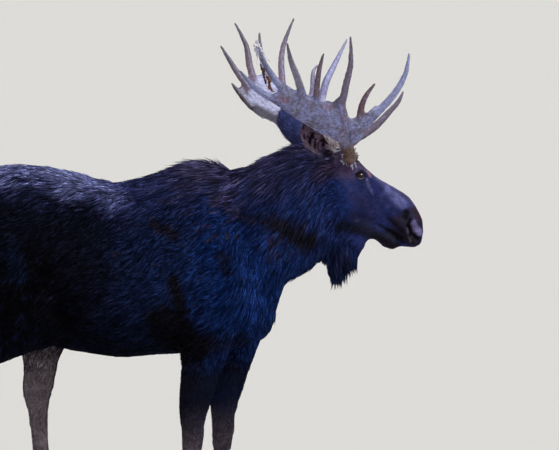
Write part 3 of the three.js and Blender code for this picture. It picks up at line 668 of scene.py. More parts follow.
def paint_legs(points, normals, lay, blotch):
    """Black forearm, grey-brown from knee and hock down, pale inside, dark over the hooves."""
    x, y, z = points.T
    front = ramp(x, -0.40, -0.30)
    lay((17, 15, 24), 0.85 * front * (1 - ramp(z + 0.10 * blotch, 0.78, 0.98)), 0.05)
    shin = 1 - ramp(z + 0.10 * blotch, 0.56 - 0.16 * front, 0.84 - 0.16 * front)
    lay((92, 80, 90), shin, 0.2)
    inside = ramp(-normals[:, 1] * np.sign(y), 0.2, 0.8)
    lay((130, 117, 122), 0.8 * inside * (x < -0.4) * (1 - ramp(z, 0.80, 1.00)), 0.3)
    lay((44, 38, 38), 0.7 * (1 - ramp(z, 0.10, 0.22)), 0.1)


def paint_head(points, normals, lay, fine):
    """Blue face with painted sky sheen and a painted highlight where it faces up, its marks on both sides,
    and the socket of each eye.
    """
    place = in_head(points)
    ahead, left, up = place.T
    head = face_amount(points)
    aside = ramp(head, 0.02, 0.40) * ramp(np.abs(left), 0.015, 0.035)
    # The blue of the face is painted sky sheen; the bridge is lighter where it faces up, a painted highlight.
    lay((37, 44, 98), head * ramp(ahead, -0.20, 0.0), 0.35)
    bridge = ramp(normals @ head_up, 0.25, 0.85) * ramp(ahead, 0.02, 0.10)
    lay((90, 86, 136), head * bridge, 0.5)
    side = place * [1, 0, 1]
    for start, end, radius, shade, amount in FACE_MARKS:
        spot = side_stroke(side, start, end, radius)
        lay(shade, amount * aside * ramp(spot + 0.30 * fine, 0.06, 0.98))

    # Painted shade round the eye, darkest above it under the brow, a painted highlight on the
    # lid's fold over that, the lids' black edge, and the pale rim of the lower lid with its wet
    # shine painted in.
    opening = eye_opening(place)
    socket = head * (np.abs(left) > 0.05)
    brow_shade = ramp(up - 0.3 * ahead, -0.008, 0.006)
    lay((26, 26, 52), 0.8 * socket * (1 - ramp(opening, 2.2, 4.2)))
    lay((8, 10, 24), 0.85 * socket * (1 - ramp(opening, 2.2, 4.4)) * brow_shade, 0.0)
    lay((84, 84, 134), 0.4 * socket * np.exp(-((opening - 3.6) / 0.4) ** 2) * ramp(up, 0.006, 0.016))
    lay((13, 10, 14), socket * (1 - ramp(opening - 25 * up, 1.5, 2.1)), 0.0)
    lay((158, 158, 204), 0.8 * socket * np.exp(-((opening - 1.75) / 0.22) ** 2) * ramp(-up, 0.006, 0.013))
    lay((18, 29, 66), bell_amount(points), 0.15)


def paint_ears(points, normals, lay):
    """Grey-blue back, pale hollow with dark curls and a fringed edge, and the tuft before it."""
    for side in ("left", "right"):
        amount = ear_amount(points, side)
        _, t, _ = ear_place(points, side)
        _, _, _, facing, _ = ear_frame(side)
        hollow = ramp(normals @ facing, -0.2, 0.3)
        lay((72, 80, 138), amount, 0.4)
        lay((164, 132, 156), amount * hollow, 0.4)
        curls = ramp(cloud(points * [1, 1, 0.6], 0.016, 6.1), 0.42, 0.62)
        lay((30, 20, 26), amount * hollow * curls * (1 - ramp(np.abs(t), 0.7, 0.95)), 0.1)
        lay((150, 132, 142), 0.8 * amount * hollow * ramp(np.abs(t), 0.78, 1.0), 0.7)
    lay((255, 238, 250), ramp(ear_tuft(points), 0.30, 0.60), 0.0)


def paint(points, normals):
    """Colour of the hide at each point, and how pale the ends of its hairs are, 0 to 1."""
    blotch = cloud(points, 0.11) - 0.5
    fine = cloud(points, 0.03, 7.3) - 0.5
    along_back = cloud(points * [0.25, 1, 1], 0.0075, 1.9) - 0.5
    down_neck = cloud(points * [1, 1, 0.25], 0.0075, 5.3) - 0.5
    hair = along_back + ramp(points[:, 0], 0.10, 0.45) * (down_neck - along_back)
    colour = np.tile(tone(17, 20, 38), (len(points), 1))
    frost = np.full(len(points), 0.05)

    def lay(shade, amount, ends=None):
        """A wash of that colour over the earlier ones; ends is how pale the hairs then end."""
        nonlocal colour, frost
        amount = np.clip(amount, 0, 1)
        colour = colour + amount[:, None] * (tone(*shade) - colour)
        if ends is not None:
            frost = frost + amount * (ends - frost)

    paint_body(points, lay, blotch, fine, hair)
    paint_legs(points, normals, lay, blotch)
    paint_head(points, normals, lay, fine)
    paint_ears(points, normals, lay)
    uneven = 1 + 0.5 * blotch + 0.5 * fine + 0.7 * (1 - face_amount(points)) * hair
    return colour * uneven[:, None], frost


def dress(piece, colours, material):
    """Gives a piece its material, and a colour for each point that it reads as 'coat'."""
    layer = piece.data.attributes.new("coat", "FLOAT_COLOR", "POINT")
    rgba = np.ones((len(colours), 4), np.float32)
    rgba[:, :3] = np.clip(colours, 0, 1)
    layer.data.foreach_set("color", rgba.ravel())
    piece.data.materials.clear()
    piece.data.materials.append(material)
    piece.data.shade_smooth()


def new_material(name, roughness, specular):
    """A node material and its shader, with the constant gloss set on the shader's own sockets."""
    made = bpy.data.materials.new(name)
    made.use_nodes = True
    shader = made.node_tree.nodes["Principled BSDF"]
    shader.inputs["Roughness"].default_value = roughness
    shader.inputs["Specular IOR Level"].default_value = specular
    return made, shader


def add_noise(made, size, detail=3.0, stretch=(1, 1, 1), turn=(0, 0, 0)):
    """Noise on Object coordinates: size in metres, stretched along the axes given."""
    nodes, links = made.node_tree.nodes, made.node_tree.links
    where = nodes.new("ShaderNodeTexCoord")
    mapping = nodes.new("ShaderNodeMapping")
    mapping.inputs["Rotation"].default_value = turn
    mapping.inputs["Scale"].default_value = [1 / s for s in stretch]
    noise = nodes.new("ShaderNodeTexNoise")
    noise.inputs["Scale"].default_value = 1 / size
    noise.inputs["Detail"].default_value = detail
    links.new(where.outputs["Object"], mapping.inputs["Vector"])
    links.new(mapping.outputs["Vector"], noise.inputs["Vector"])
    return noise.outputs["Fac"]


def spread(made, value, low, high):
    """Noise, which mostly lies between 0.3 and 0.7, mapped on to low to high."""
    node = made.node_tree.nodes.new("ShaderNodeMapRange")
    node.inputs["From Min"].default_value = 0.3
    node.inputs["From Max"].default_value = 0.7
    node.inputs["To Min"].default_value = low
    node.inputs["To Max"].default_value = high
    made.node_tree.links.new(value, node.inputs["Value"])
    return node.outputs["Result"]


def coloured(made, shader, low, high, *values):
    """Base colour = the piece's 'coat' colours times each value mapped on to low..high."""
    nodes, links = made.node_tree.nodes, made.node_tree.links
    colour = nodes.new("ShaderNodeAttribute")
    colour.attribute_name = "coat"
    result = colour.outputs["Color"]
    for value in values:
        product = nodes.new("ShaderNodeVectorMath")
        product.operation = "SCALE"
        links.new(result, product.inputs[0])
        links.new(spread(made, value, low, high), product.inputs["Scale"])
        result = product.outputs["Vector"]
    links.new(result, shader.inputs["Base Color"])


def bumped(made, shader, strength, distance, height):
    """Bump of the height value on the shader."""
    bump = made.node_tree.nodes.new("ShaderNodeBump")
    bump.inputs["Strength"].default_value = strength
    bump.inputs["Distance"].default_value = distance
    made.node_tree.links.new(height, bump.inputs["Height"])
    made.node_tree.links.new(bump.outputs["Normal"], shader.inputs["Normal"])


HEAD_TURN = float(np.arctan2(head_ahead[1], head_ahead[0]))
BARE_SHADE = 0.88                     # the skin is this much of the colour of its hair
COAT_SHADE_ON_SKIN = 0.18                     # and this much darker where the coat is deep: painted shade under the hair
hide_material, shader = new_material("short_hide", 0.6, 0.03)
grain = add_noise(hide_material, 0.0022, 2.0, stretch=(4.0, 1, 1.6), turn=(0, 0, -HEAD_TURN))
clump = add_noise(hide_material, 0.010, 3.0, stretch=(2.5, 1, 1.2), turn=(0, 0, -HEAD_TURN))
coloured(hide_material, shader, 0.72, 1.32, grain, clump)
bumped(hide_material, shader, 0.7, 0.0012, grain)

normals = point_normals(points, triangles)
skin_colour, _ = paint(points, normals)
shaded_by_coat = (1 - face_amount(points)) * (1 - leg_amount(points))
dress(skin, skin_colour * (BARE_SHADE - COAT_SHADE_ON_SKIN * shaded_by_coat)[:, None], hide_material)
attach(skin, "root")
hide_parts(*FLESH, "ear_left", "ear_right")

# ------------------------------------------------------------------ the eyes
# Real piece: a wet dark-brown eyeball with a long level pupil, seen through the
# almond of the lids. One smooth ball each, its rings round the sideways axis.

EYE_RINGS = 40
EYE_SIDES = 56
POLE = 0.02                           # the first ring's angle from the middle of the pupil
BULGE = 0.06                          # how far the cornea stands out, as a share of the radius
PUPIL = (0.48, 0.30)                  # half length and half height, as shares of the radius
WHITE = tone(44, 36, 50)              # of the eye, kept dark
IRIS = tone(66, 28, 26)
BLACK = tone(8, 8, 14)                # of the pupil
eye_material, shader = new_material("wet_eye", 0.3, 0.0)
shader.inputs["Coat Weight"].default_value = 0.45
shader.inputs["Coat Roughness"].default_value = 0.03
coloured(eye_material, shader, 0.8, 1.25, add_noise(eye_material, 0.0012, 2.0))

for side, sign in (("left", 1), ("right", -1)):
    polar, turn = np.meshgrid(np.linspace(POLE, np.pi - POLE, EYE_RINGS), full_turn(EYE_SIDES), indexing="ij")
    bulge = EYEBALL * (1 + BULGE * np.exp(-(polar / 0.55) ** 2))
    local = np.stack([np.sin(polar) * np.cos(turn), sign * np.cos(polar), np.sin(polar) * np.sin(turn)], -1)
    eye_points = (eye_middle[side] + (local * bulge[..., None]) @ head_axes).reshape(-1, 3)
    faces = facing_out(eye_points - eye_middle[side], ring_faces(EYE_RINGS, EYE_SIDES))
    eye = write_mesh(f"eyeball_{side}", eye_points, faces)

    # Rayed brown iris with a dark ring round it, and the pupil over it.
    polar, turn = polar.ravel(), turn.ravel()
    ahead, _, up = local.reshape(-1, 3).T
    pupil = 1 - ramp(np.hypot(ahead / PUPIL[0], up / PUPIL[1]), 0.85, 1.1)
    rays = 0.5 + 0.5 * np.sin(turn * 23) * np.sin(turn * 7 + 1)
    iris = 1 - ramp(polar, 0.80, 0.92)
    colour = WHITE + iris[:, None] * (IRIS * (0.6 + 0.8 * rays[:, None]) - WHITE)
    colour = colour * (1 - 0.7 * np.exp(-((polar - 0.88) / 0.09) ** 2))[:, None]
    dress(eye, colour + pupil[:, None] * (BLACK - colour), eye_material)
    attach(eye, "root")
    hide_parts(f"eye_{side}")

# --------------------------------------------------------------- the antlers
# Real piece: bare bone, just out of its velvet: beam, burr, palm and tines grown
# as one, with fine grooves that run from the burr to every point. Made from the
# frame's beam, palm and brow wrapped in one fine net, then rounded and grooved.

ANTLER_NET = 0.0042
CLOSING = 0.009                       # swollen by this and drawn in again, which rounds the crotches
DRAWN_IN = 0.60                       # of that; the smoothing takes off the rest
BEAM = 0.0285                         # radius of the beam at the burr
BURR = 0.010                          # the burr stands out this much more
GROOVE = 0.0006                       # height of the grooves
PEARL = 0.0016                        # height of the pearls round the burr
GROOVE_STEPS = 22
WAY_STEPS = 380                       # more than the points between the burr and any tip
FAR = 1.2                             # longer ways from the burr count as this


def way_from(points, table, start, rounds):
    """Distance over the surface from the points marked in start.

    In each round a point takes its neighbours' least distance plus the edge to it.
    """
    length = np.linalg.norm(points[table] - points[:, None], axis=2)
    length[table == np.arange(len(points))[:, None]] = 1e-3
    distance = np.where(start, 0.0, 1e3)
    for _ in range(rounds):
        distance = np.minimum(distance, (distance[table] + length).min(axis=1))
    return distance


antler_material, shader = new_material("antler_bone", 0.58, 0.35)
pores = add_noise(antler_material, 0.0035, 4.0)
grain = add_noise(antler_material, 0.009, 4.0, stretch=(2.2, 1, 0.8), turn=(0, 0.6, 0))
coloured(antler_material, shader, 0.74, 1.28, pores, grain)
bumped(antler_material, shader, 0.5, 0.0012, grain)

# Where the outline is drawn out or in, from the point between the eyes: start,
# end, move and radius. The right palm's crotches are filled, the left one's are cut.
REACH = {
    "right": [((-0.401, 0, 0.437), (-0.401, 0, 0.437), (-0.028, 0, 0.037), 0.028),
              ((-0.160, 0, 0.352), (-0.185, 0, 0.356), (-0.020, 0, 0.034), 0.042)],
    "left": [((-0.257, 0, 0.382), (-0.150, 0, 0.386), (0, 0, -0.036), 0.040),
             ((-0.120, 0, 0.340), (-0.050, 0, 0.345), (0, 0, -0.050), 0.052),
             ((0.020, 0, 0.270), (0.203, 0, 0.350), (0.006, 0, -0.036), 0.043)],
}
# The way the beam leaves the head and the middle of the burr, on the left side.
BURR_AXIS = unit(np.array([-0.20, 0.88, 0.42]))
BURR_MIDDLE = np.array([-0.056, 0.118, 0.088])

# Rusty spots of the right palm, start and end.
RUST_SPOTS = [((-0.225, 0, 0.365), (-0.200, 0, 0.358)), ((-0.135, 0, 0.345), (-0.128, 0, 0.300)),
              ((-0.070, 0, 0.300), (-0.075, 0, 0.335)), ((-0.440, 0, 0.400), (-0.425, 0, 0.395))]

# The tines, ahead and up from the point between the eyes, with the colour of each;
# the last of the left ones is the dark lower rim of its palm.
TINES = {
    "right": [([(-0.66, 0.56), (-0.580, 0.481), (-0.510, 0.430)], (128, 132, 176)),
              ([(-0.60, 0.69), (-0.466, 0.498)], (126, 134, 176)),
              ([(-0.44, 0.70), (-0.369, 0.485)], (116, 104, 116)),
              ([(-0.25, 0.65), (-0.264, 0.443)], (94, 70, 70)),
              ([(-0.12, 0.72), (-0.105, 0.559), (-0.136, 0.394)], (104, 86, 104)),
              ([(0.03, 0.49), (-0.037, 0.336)], (92, 60, 62)),
              ([(0.20, 0.63), (0.175, 0.497), (0.053, 0.338)], (136, 138, 184))],
    "left": [([(-0.58, 0.43), (-0.510, 0.362)], (96, 68, 80)),
             ([(-0.61, 0.62), (-0.509, 0.397)], (100, 72, 86)),
             ([(-0.54, 0.72), (-0.479, 0.601), (-0.463, 0.457)], (112, 78, 92)),
             ([(-0.40, 0.69), (-0.396, 0.561)], (110, 74, 84)),
             ([(-0.22, 0.74), (-0.289, 0.571), (-0.302, 0.420)], (120, 90, 110)),
             ([(-0.12, 0.51), (-0.158, 0.391)], (140, 128, 160)),
             ([(0.04, 0.64), (-0.105, 0.392)], (136, 130, 178)),
             ([(0.28, 0.40), (0.153, 0.253), (0.030, 0.120)], (92, 62, 80)),
             ([(-0.585, 0.420), (-0.507, 0.320), (-0.350, 0.228)], (60, 38, 40))],
}


def outlined(bone, side, sign):
    """The wrapped antler with its outline drawn out and in."""
    place = in_head(bone)
    for start, end, move, radius in REACH[side]:
        amount = stroke(place * [1, 0, 1], start, end, radius) * ramp(place[:, 1] * sign, 0.2, 0.3)
        bone = bone + amount[:, None] * (np.array(move) @ head_axes)
    return bone


def round_beam(bone, faces, sign):
    """The beam drawn in to a round rod with the burr as a ring, and a swelling above it."""
    flip = np.array([1, sign, 1])
    off = in_head(bone) - BURR_MIDDLE * flip
    along = off @ (BURR_AXIS * flip)
    off = off - along[:, None] * (BURR_AXIS * flip)
    reach = np.linalg.norm(off, axis=1)
    widest = BEAM + BURR * np.exp(-((along + 0.004) / 0.008) ** 2)
    drawn = np.where(reach > widest, widest + 0.15 * (reach - widest) - reach, 0.0)
    drawn = drawn * (1 - ramp(along, 0.060, 0.085)) / np.maximum(reach, 1e-4)
    bone = bone + (off * drawn[:, None]) @ head_axes
    swelling = stroke(in_head(bone), (-0.060, 0.270 * sign, 0.165), (-0.050, 0.300 * sign, 0.200), 0.035)
    return bone + point_normals(bone, faces) * (0.008 * swelling)[:, None]


def averaged(values, table, rounds):
    """Values of the points, each replaced by its neighbours' mean, that many times."""
    for _ in range(rounds):
        values = values[table].mean(axis=1)
    return values


def grooves_along(table, distance):
    """Fine grooves that run from the burr to every point, -2 to 2.

    Random values are carried outwards, each point taking most of its value from the
    neighbours nearer the burr, which draws them out to lines; broad swells are taken off.
    """
    nearer = np.maximum(distance[:, None] - distance[table], 0) ** 3
    nearer = nearer / np.maximum(nearer.sum(axis=1, keepdims=True), 1e-20)
    grooves = rng.normal(size=len(table))
    for _ in range(GROOVE_STEPS):
        grooves = 0.25 * grooves + 0.75 * (grooves[table] * nearer).sum(axis=1)
    grooves = grooves - averaged(grooves, table, 12)
    return np.clip(grooves / grooves.std(), -2, 2)


def stained(shade, colour, amount):
    """The shade of each point with a wash of that colour over it."""
    return shade + np.clip(amount, 0, 1)[:, None] * (tone(*colour) - shade)


def veins(place, size, shift):
    """Thin lines drawn out the way the palm grew, where a cloud passes its middle value."""
    grown = np.stack([0.45 * (place @ [-0.80, 0, 0.60]), place @ [0.60, 0, 0.80], place[:, 1]], 1)
    return ramp(-np.abs(2 * cloud(grown, size, shift) - 1), -0.22, -0.06)


def antler_tones(bone, normals, side, distance, grooves, thin):
    """Grey-brown outside with blue-grey patches of painted sky light, paler on the side towards the middle.
    """
    place = in_head(bone)
    flat = place * [1, 0, 1]
    shade = np.tile(tone(104, 98, 130), (len(bone), 1))
    if side == "left":
        shade = stained(shade, (180, 176, 212), ramp(-normals[:, 1], -0.1, 0.4))
        shade = stained(shade, (138, 124, 158), 0.40 * veins(place, 0.018, 6.6))
    else:
        # Blue-grey patches: painted sky light, mottled at random over the bone.
        sky_light_mottle = ramp(cloud(bone, 0.034, 5.2) + 0.35 * (cloud(bone, 0.014, 1.2) - 0.5), 0.36, 0.66)
        shade = stained(shade, (130, 136, 190), 0.60 * sky_light_mottle)
        shade = stained(shade, (98, 80, 84), 0.45 * ramp(cloud(bone, 0.030, 2.7), 0.50, 0.75))
        shade = stained(shade, (150, 156, 208), 0.45 * veins(place, 0.016, 4.2))
        shade = stained(shade, (56, 46, 62), 0.55 * veins(place, 0.011, 9.4))
        rust = sum(stroke(flat, *spot, 0.017) for spot in RUST_SPOTS)
        shade = stained(shade, (128, 66, 52), 0.7 * rust * ramp(cloud(bone, 0.009, 4.4), 0.35, 0.6))

    # Each tine in its own colour, with a painted highlight on its forward and upper side.
    for path, colour in TINES[side]:
        path = np.array(path)[:, [0, 0, 1]] * [1, 0, 1]
        near = np.maximum.reduce([stroke(flat, *part, 0.034) for part in zip(path[:-1], path[1:])])
        shade = stained(shade, colour, 0.85 * ramp(near, 0.15, 0.60))
        bright = near * ramp(normals[:, 0] + normals[:, 2] + 0.4 * grooves, 0.5, 1.4)
        shade = stained(shade, (168, 164, 204), 0.45 * bright)

    # Rims: painted shade under the left palm's rims, a painted highlight under the right one's and rust-brown
    # on its upper rims; then grooves, outer tips and the brown beam.
    below = ramp(-normals[:, 2], 0.10, 0.50) * thin
    if side == "left":
        shade = stained(shade, (62, 40, 42), 0.9 * below)
    else:
        above = ramp(normals[:, 2], 0.10, 0.50) * thin
        shade = stained(shade, (140, 148, 202), 0.4 * below)
        shade = stained(shade, (112, 68, 62), 0.5 * above * (1 - ramp(flat[:, 2], 0.42, 0.52)))
    shade = stained(shade, (70, 56, 62), 0.25 * ramp(-grooves, 0.5, 1.6))
    shade = stained(shade, (168, 170, 208), 0.20 * ramp(grooves, 0.5, 1.6))
    shade = stained(shade, (70, 54, 66), 0.60 * ramp(distance + 0.3 * (bone[:, 2] - 2.3), 0.70, 0.88))
    low = 1 - ramp(distance, 0.06, 0.21)
    shade = stained(shade, (106, 78, 60), 0.9 * low)
    return stained(shade, (48, 36, 30), 0.7 * low * veins(place, 0.012, 7.7))


for side, sign in (("left", 1), ("right", -1)):
    names = [f"antler_{side}_{part}" for part in ("beam", "palm", "brow")]
    antler = wrap(f"antler_{side}", [merged(name, CLOSING) for name in names], ANTLER_NET)
    bone, bone_faces, bone_edges = read_mesh(antler.data)
    bone = relaxed(bone, bone_edges, rounds=10, keep=0)
    bone = bone - DRAWN_IN * CLOSING * point_normals(bone, bone_faces)
    bone = round_beam(outlined(bone, side, sign), bone_faces, sign)
    bone = relaxed(bone, bone_edges, rounds=8)

    table = neighbours(bone_edges, len(bone))
    burr_place = eye_middle[side] + np.array([-0.055, 0.030 * sign, 0.090]) @ head_axes
    at_burr = np.linalg.norm(bone - burr_place, axis=1) < 0.055
    distance = averaged(np.minimum(way_from(bone, table, at_burr, WAY_STEPS), FAR), table, 8)
    grooves = grooves_along(table, distance)
    bone_normals = point_normals(bone, bone_faces)
    stands_out = np.sum((bone - averaged(bone, table, 6)) * bone_normals, axis=1)
    thin = ramp(stands_out, 0.0001, 0.0007)                 # 1 on rims and tines
    pearls = ramp(cloud(bone, 0.008, 3.1), 0.35, 0.75) * (1 - ramp(distance, 0.03, 0.10))
    lift = GROOVE * grooves * (1 - 0.4 * thin) + PEARL * pearls
    bone = bone + bone_normals * lift[:, None]
    antler.data.vertices.foreach_set("co", bone.ravel())
    antler.data.update()
    tones = antler_tones(bone, bone_normals, side, distance, grooves, thin)
    dress(antler, tones, antler_material)
    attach(antler, "root")
    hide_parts(*names)

# ------------------------------------------------------------ shreds of velvet
# Real piece: the last dry strips of the skin that fed the antlers, white outside
# and red-brown inside, still hanging at one tine and curled round the burrs.

# Ribbons from the point between the eyes: the places they pass, width, how far
# they wander, and colour. Lace along one tine, then the torn skin that hangs.
LACE = (236, 232, 244)
RIBBONS = [
    ([(-0.574, -0.500, 0.688), (-0.585, -0.499, 0.671), (-0.586, -0.498, 0.651),
      (-0.576, -0.500, 0.635), (-0.570, -0.500, 0.616), (-0.577, -0.500, 0.590),
      (-0.571, -0.500, 0.561)], 0.013, 0.003, LACE),
    ([(-0.574, -0.500, 0.688), (-0.562, -0.503, 0.664), (-0.555, -0.504, 0.645),
      (-0.543, -0.506, 0.633), (-0.538, -0.507, 0.613), (-0.523, -0.509, 0.599),
      (-0.511, -0.511, 0.587)], 0.013, 0.003, LACE),
    ([(-0.578, -0.508, 0.655), (-0.566, -0.512, 0.632), (-0.556, -0.510, 0.606)],
     0.010, 0.003, (176, 182, 214)),
    ([(-0.552, -0.475, 0.575), (-0.539, -0.477, 0.531), (-0.530, -0.478, 0.496),
      (-0.523, -0.479, 0.465)], 0.012, 0.002, (54, 38, 40)),
    ([(-0.545, -0.480, 0.560), (-0.528, -0.474, 0.525), (-0.513, -0.474, 0.500),
      (-0.509, -0.474, 0.480), (-0.512, -0.474, 0.465), (-0.496, -0.476, 0.446),
      (-0.484, -0.476, 0.440)], 0.018, 0.002, (104, 62, 52)),
    ([(-0.520, -0.478, 0.520), (-0.506, -0.478, 0.498), (-0.504, -0.478, 0.474)],
     0.012, 0.002, (150, 104, 90)),
]
RIBBON_WALL = 0.0012                  # half its thickness
RIBBON_STEPS = 8                      # for each place it passes
BURR_SHREDS = 34
SHRED_WIDTH = 0.010
PALE_SHREDS = 0.62                    # the share of them that show their white outside
velvet_material, shader = new_material("dry_velvet", 0.8, 0.15)
fibres = add_noise(velvet_material, 0.0015, 3.0)
coloured(velvet_material, shader, 0.7, 1.3, fibres)
bumped(velvet_material, shader, 0.6, 0.0008, fibres)


def ribbon(places, width, wander):
    """A closed crumpled strip, flat in section, through the places given.

    A section of four corners is carried along the path, which sways as a sum of sines,
    rolls at random, and narrows to the end.
    """
    places = np.asarray(places)
    count = RIBBON_STEPS * len(places)
    t = np.linspace(0, len(places) - 1, count)
    path = np.stack([np.interp(t, np.arange(len(places)), places[:, k]) for k in range(3)], 1)
    sway = sum(np.sin(t[:, None] * rate + rng.uniform(0, 6, 3)) for rate in (5.0, 9.0, 14.0)) / 2
    path = path + wander * sway
    along = unit(np.gradient(path, axis=0))
    roll = np.cumsum(rng.normal(0, 0.25, count))
    across = unit(np.cross(along, [0.1, 1.0, 0.1]))
    flat = np.cross(along, across)
    across, flat = (np.cos(roll)[:, None] * across + np.sin(roll)[:, None] * flat,
                    np.cos(roll)[:, None] * flat - np.sin(roll)[:, None] * across)
    taper = np.minimum(1, 3 * (1 - np.linspace(0, 1, count)) + 0.1)
    size = (width / 2 * (0.55 + 0.6 * rng.random(count)) * taper)[:, None] * across
    wall = RIBBON_WALL * flat
    corners = [path + size, path + wall, path - size, path - wall]
    made = head_point + np.stack(corners, axis=1).reshape(-1, 3) @ head_axes
    return made, facing_out(made - made.mean(axis=0), ring_faces(count, 4))


strips, strip_tones = [], []
for places, width, wander, colour in RIBBONS:
    strips.append(ribbon(places, width, wander))
    strip_tones.append(tone(*colour))
for sign in (1, -1):
    flip = np.array([1, sign, 1])
    aside = unit(np.cross(BURR_AXIS * flip, [0, 0, 1]))
    above = np.cross(BURR_AXIS * flip, aside)
    for turn in full_turn(BURR_SHREDS) + rng.uniform(0, 0.3, BURR_SHREDS):
        out = np.cos(turn) * aside + np.sin(turn) * above
        start = BURR_MIDDLE * flip + 0.034 * out + rng.uniform(-0.008, 0.010) * BURR_AXIS * flip
        way = unit(0.5 * out + 0.5 * BURR_AXIS * flip + rng.normal(0, 0.6, 3))
        reach = rng.uniform(0.012, 0.026)
        bend = start + 0.6 * reach * way
        tip = bend + 0.5 * reach * unit(way + rng.normal(0, 0.7, 3))
        strips.append(ribbon([start, bend, tip], SHRED_WIDTH, 0.001))
        colour = (202, 198, 222) if rng.random() < PALE_SHREDS else (92, 66, 54)
        strip_tones.append(tone(*colour) * rng.uniform(0.6, 1.1))
velvet = joined_mesh("velvet_shreds", strips)
tones = np.repeat(strip_tones, [len(made) for made, _ in strips], axis=0)
dress(velvet, tones, velvet_material)
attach(velvet, "root")

# ----------------------------------------------------------------- the hooves
# Real piece: two dark horn claws and two dewclaws on each foot, ringed by their
# growth. Made from the frame's solids wrapped in a fine net, with flat soles.

HOOF_NET = 0.0042
SOLE = 0.0035                         # what lies lower than this is the sole, pressed flat
SWOLLEN = 0.0012                      # makes up for what the smoothing takes off
RING_HEIGHT = 0.0003
RING_SPACING = 0.0016                 # times 2 pi, from one ring to the next
horn_material, shader = new_material("hoof_horn", 0.5, 0.12)
rings = add_noise(horn_material, 0.004, 3.0, stretch=(6, 6, 1))
coloured(horn_material, shader, 0.7, 1.35, rings, add_noise(horn_material, 0.02))
bumped(horn_material, shader, 0.6, 0.0012, rings)

for foot in ("front_left", "front_right", "hind_left", "hind_right"):
    claws = [f"{part}_{foot}_{which}" for part in ("hoof", "dewclaw") for which in ("inner", "outer")]
    hooves = wrap(f"hooves_{foot}", [merged(claw, 0.0) for claw in claws], HOOF_NET)
    horn, horn_faces, horn_edges = read_mesh(hooves.data)
    sole = horn[:, 2] < SOLE
    horn = relaxed(horn, horn_edges, rounds=7, keep=0)
    horn = horn + SWOLLEN * point_normals(horn, horn_faces)
    growth = RING_HEIGHT * np.sin(horn[:, 2] / RING_SPACING + cloud(horn, 0.03))
    growth = growth * ramp(horn[:, 2], 0.012, 0.03)
    horn = horn + point_normals(horn, horn_faces) * growth[:, None]
    horn[:, 2] = np.where(sole, 0.0, np.maximum(horn[:, 2], 0.0))
    hooves.data.vertices.foreach_set("co", horn.ravel())
    hooves.data.update()
    worn = 1 - ramp(horn[:, 2], 0.0, 0.02)
    dress(hooves, stained(tone(42, 36, 32), (80, 72, 66), worn), horn_material)
    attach(hooves, "root")
    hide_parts(*claws)

# ------------------------------------------------------------------- the coat
# Real piece: coarse guard hairs in locks, long on withers, neck and bell, short
# and sleek on face and legs. Each lock is a thin closed spike of three sides that
# leaves the skin, bends over and lies along the body, pulled to its neighbours.

skin_points, skin_faces = points, triangles
skin_normals = point_normals(skin_points, skin_faces)


def lie(points, normals):
    """Which way the hair runs at each point, along the skin.

    A backward and downward direction, turned area by area, laid flat on the skin and
    swirled a little by soft random values.
    """
    _, left, up = in_head(points).T
    x, _, z = points.T
    way = np.tile([-0.84, 0.0, -0.54], (len(points), 1))

    def turn(direction, amount):
        """Turns the hair towards that direction, wholly where the amount is 1."""
        nonlocal way
        way = way + np.clip(amount, 0, 1)[:, None] * (np.asarray(direction) - way)

    turn((-0.97, 0, -0.22), 1 - ramp(below_top(points), 0.0, 0.20))
    turn((-0.62, 0, -0.78), ramp(x, 0.10, 0.40))
    turn((-0.22, 0, -0.97), ramp(x, 0.42, 0.66))
    turn((-0.85, 0, -0.52), (1 - ramp(below_top(points), 0.03, 0.22)) * ramp(x, 0.05, 0.35))
    turn((-0.10, 0, -1.0), ramp(x, 0.25, 0.40) * (1 - ramp(z, 1.25, 1.5)))
    turn((-0.95, 0, -0.25), (1 - ramp(z, 0.92, 1.02)) * ramp(x, -0.8, -0.6) * (1 - ramp(x, 0.0, 0.1)))
    turn((-0.30, 0, -0.95), (1 - ramp(x, -0.80, -0.60)) * (1 - ramp(z, 1.2, 1.5)))
    turn((-0.12, 0, -1.0), 1 - ramp(z, 0.78, 0.98))
    sides = -0.88 * head_ahead + np.outer(np.sign(left), head_left) * 0.12 + 0.30 * head_up
    cheeks = -0.80 * head_ahead - 0.60 * head_up
    head = face_amount(points)[:, None]
    face = sides + ramp(-up, 0.10, 0.22)[:, None] * (cheeks - sides)
    way = way + head * (face - way)
    turn((-0.10, 0, -1.0), bell_amount(points))
    for side in ("left", "right"):
        _, line, *_ = ear_frame(side)
        turn(unit(line), ear_amount(points, side))
    turn((0.25, 0, 0.97), ramp(ear_tuft(points), 0.3, 0.7))
    way = unit(way - np.sum(way * normals, axis=1)[:, None] * normals)
    swirl = 0.9 * (cloud(points, 0.16, 2.2) - 0.5) * (1 - 0.6 * head[:, 0])
    swirl = swirl + 0.5 * (cloud(points, 0.05, 9.1) - 0.5)
    swirl = swirl + rng.normal(0, 0.10, len(points))
    return np.cos(swirl)[:, None] * way + np.sin(swirl)[:, None] * np.cross(normals, way)


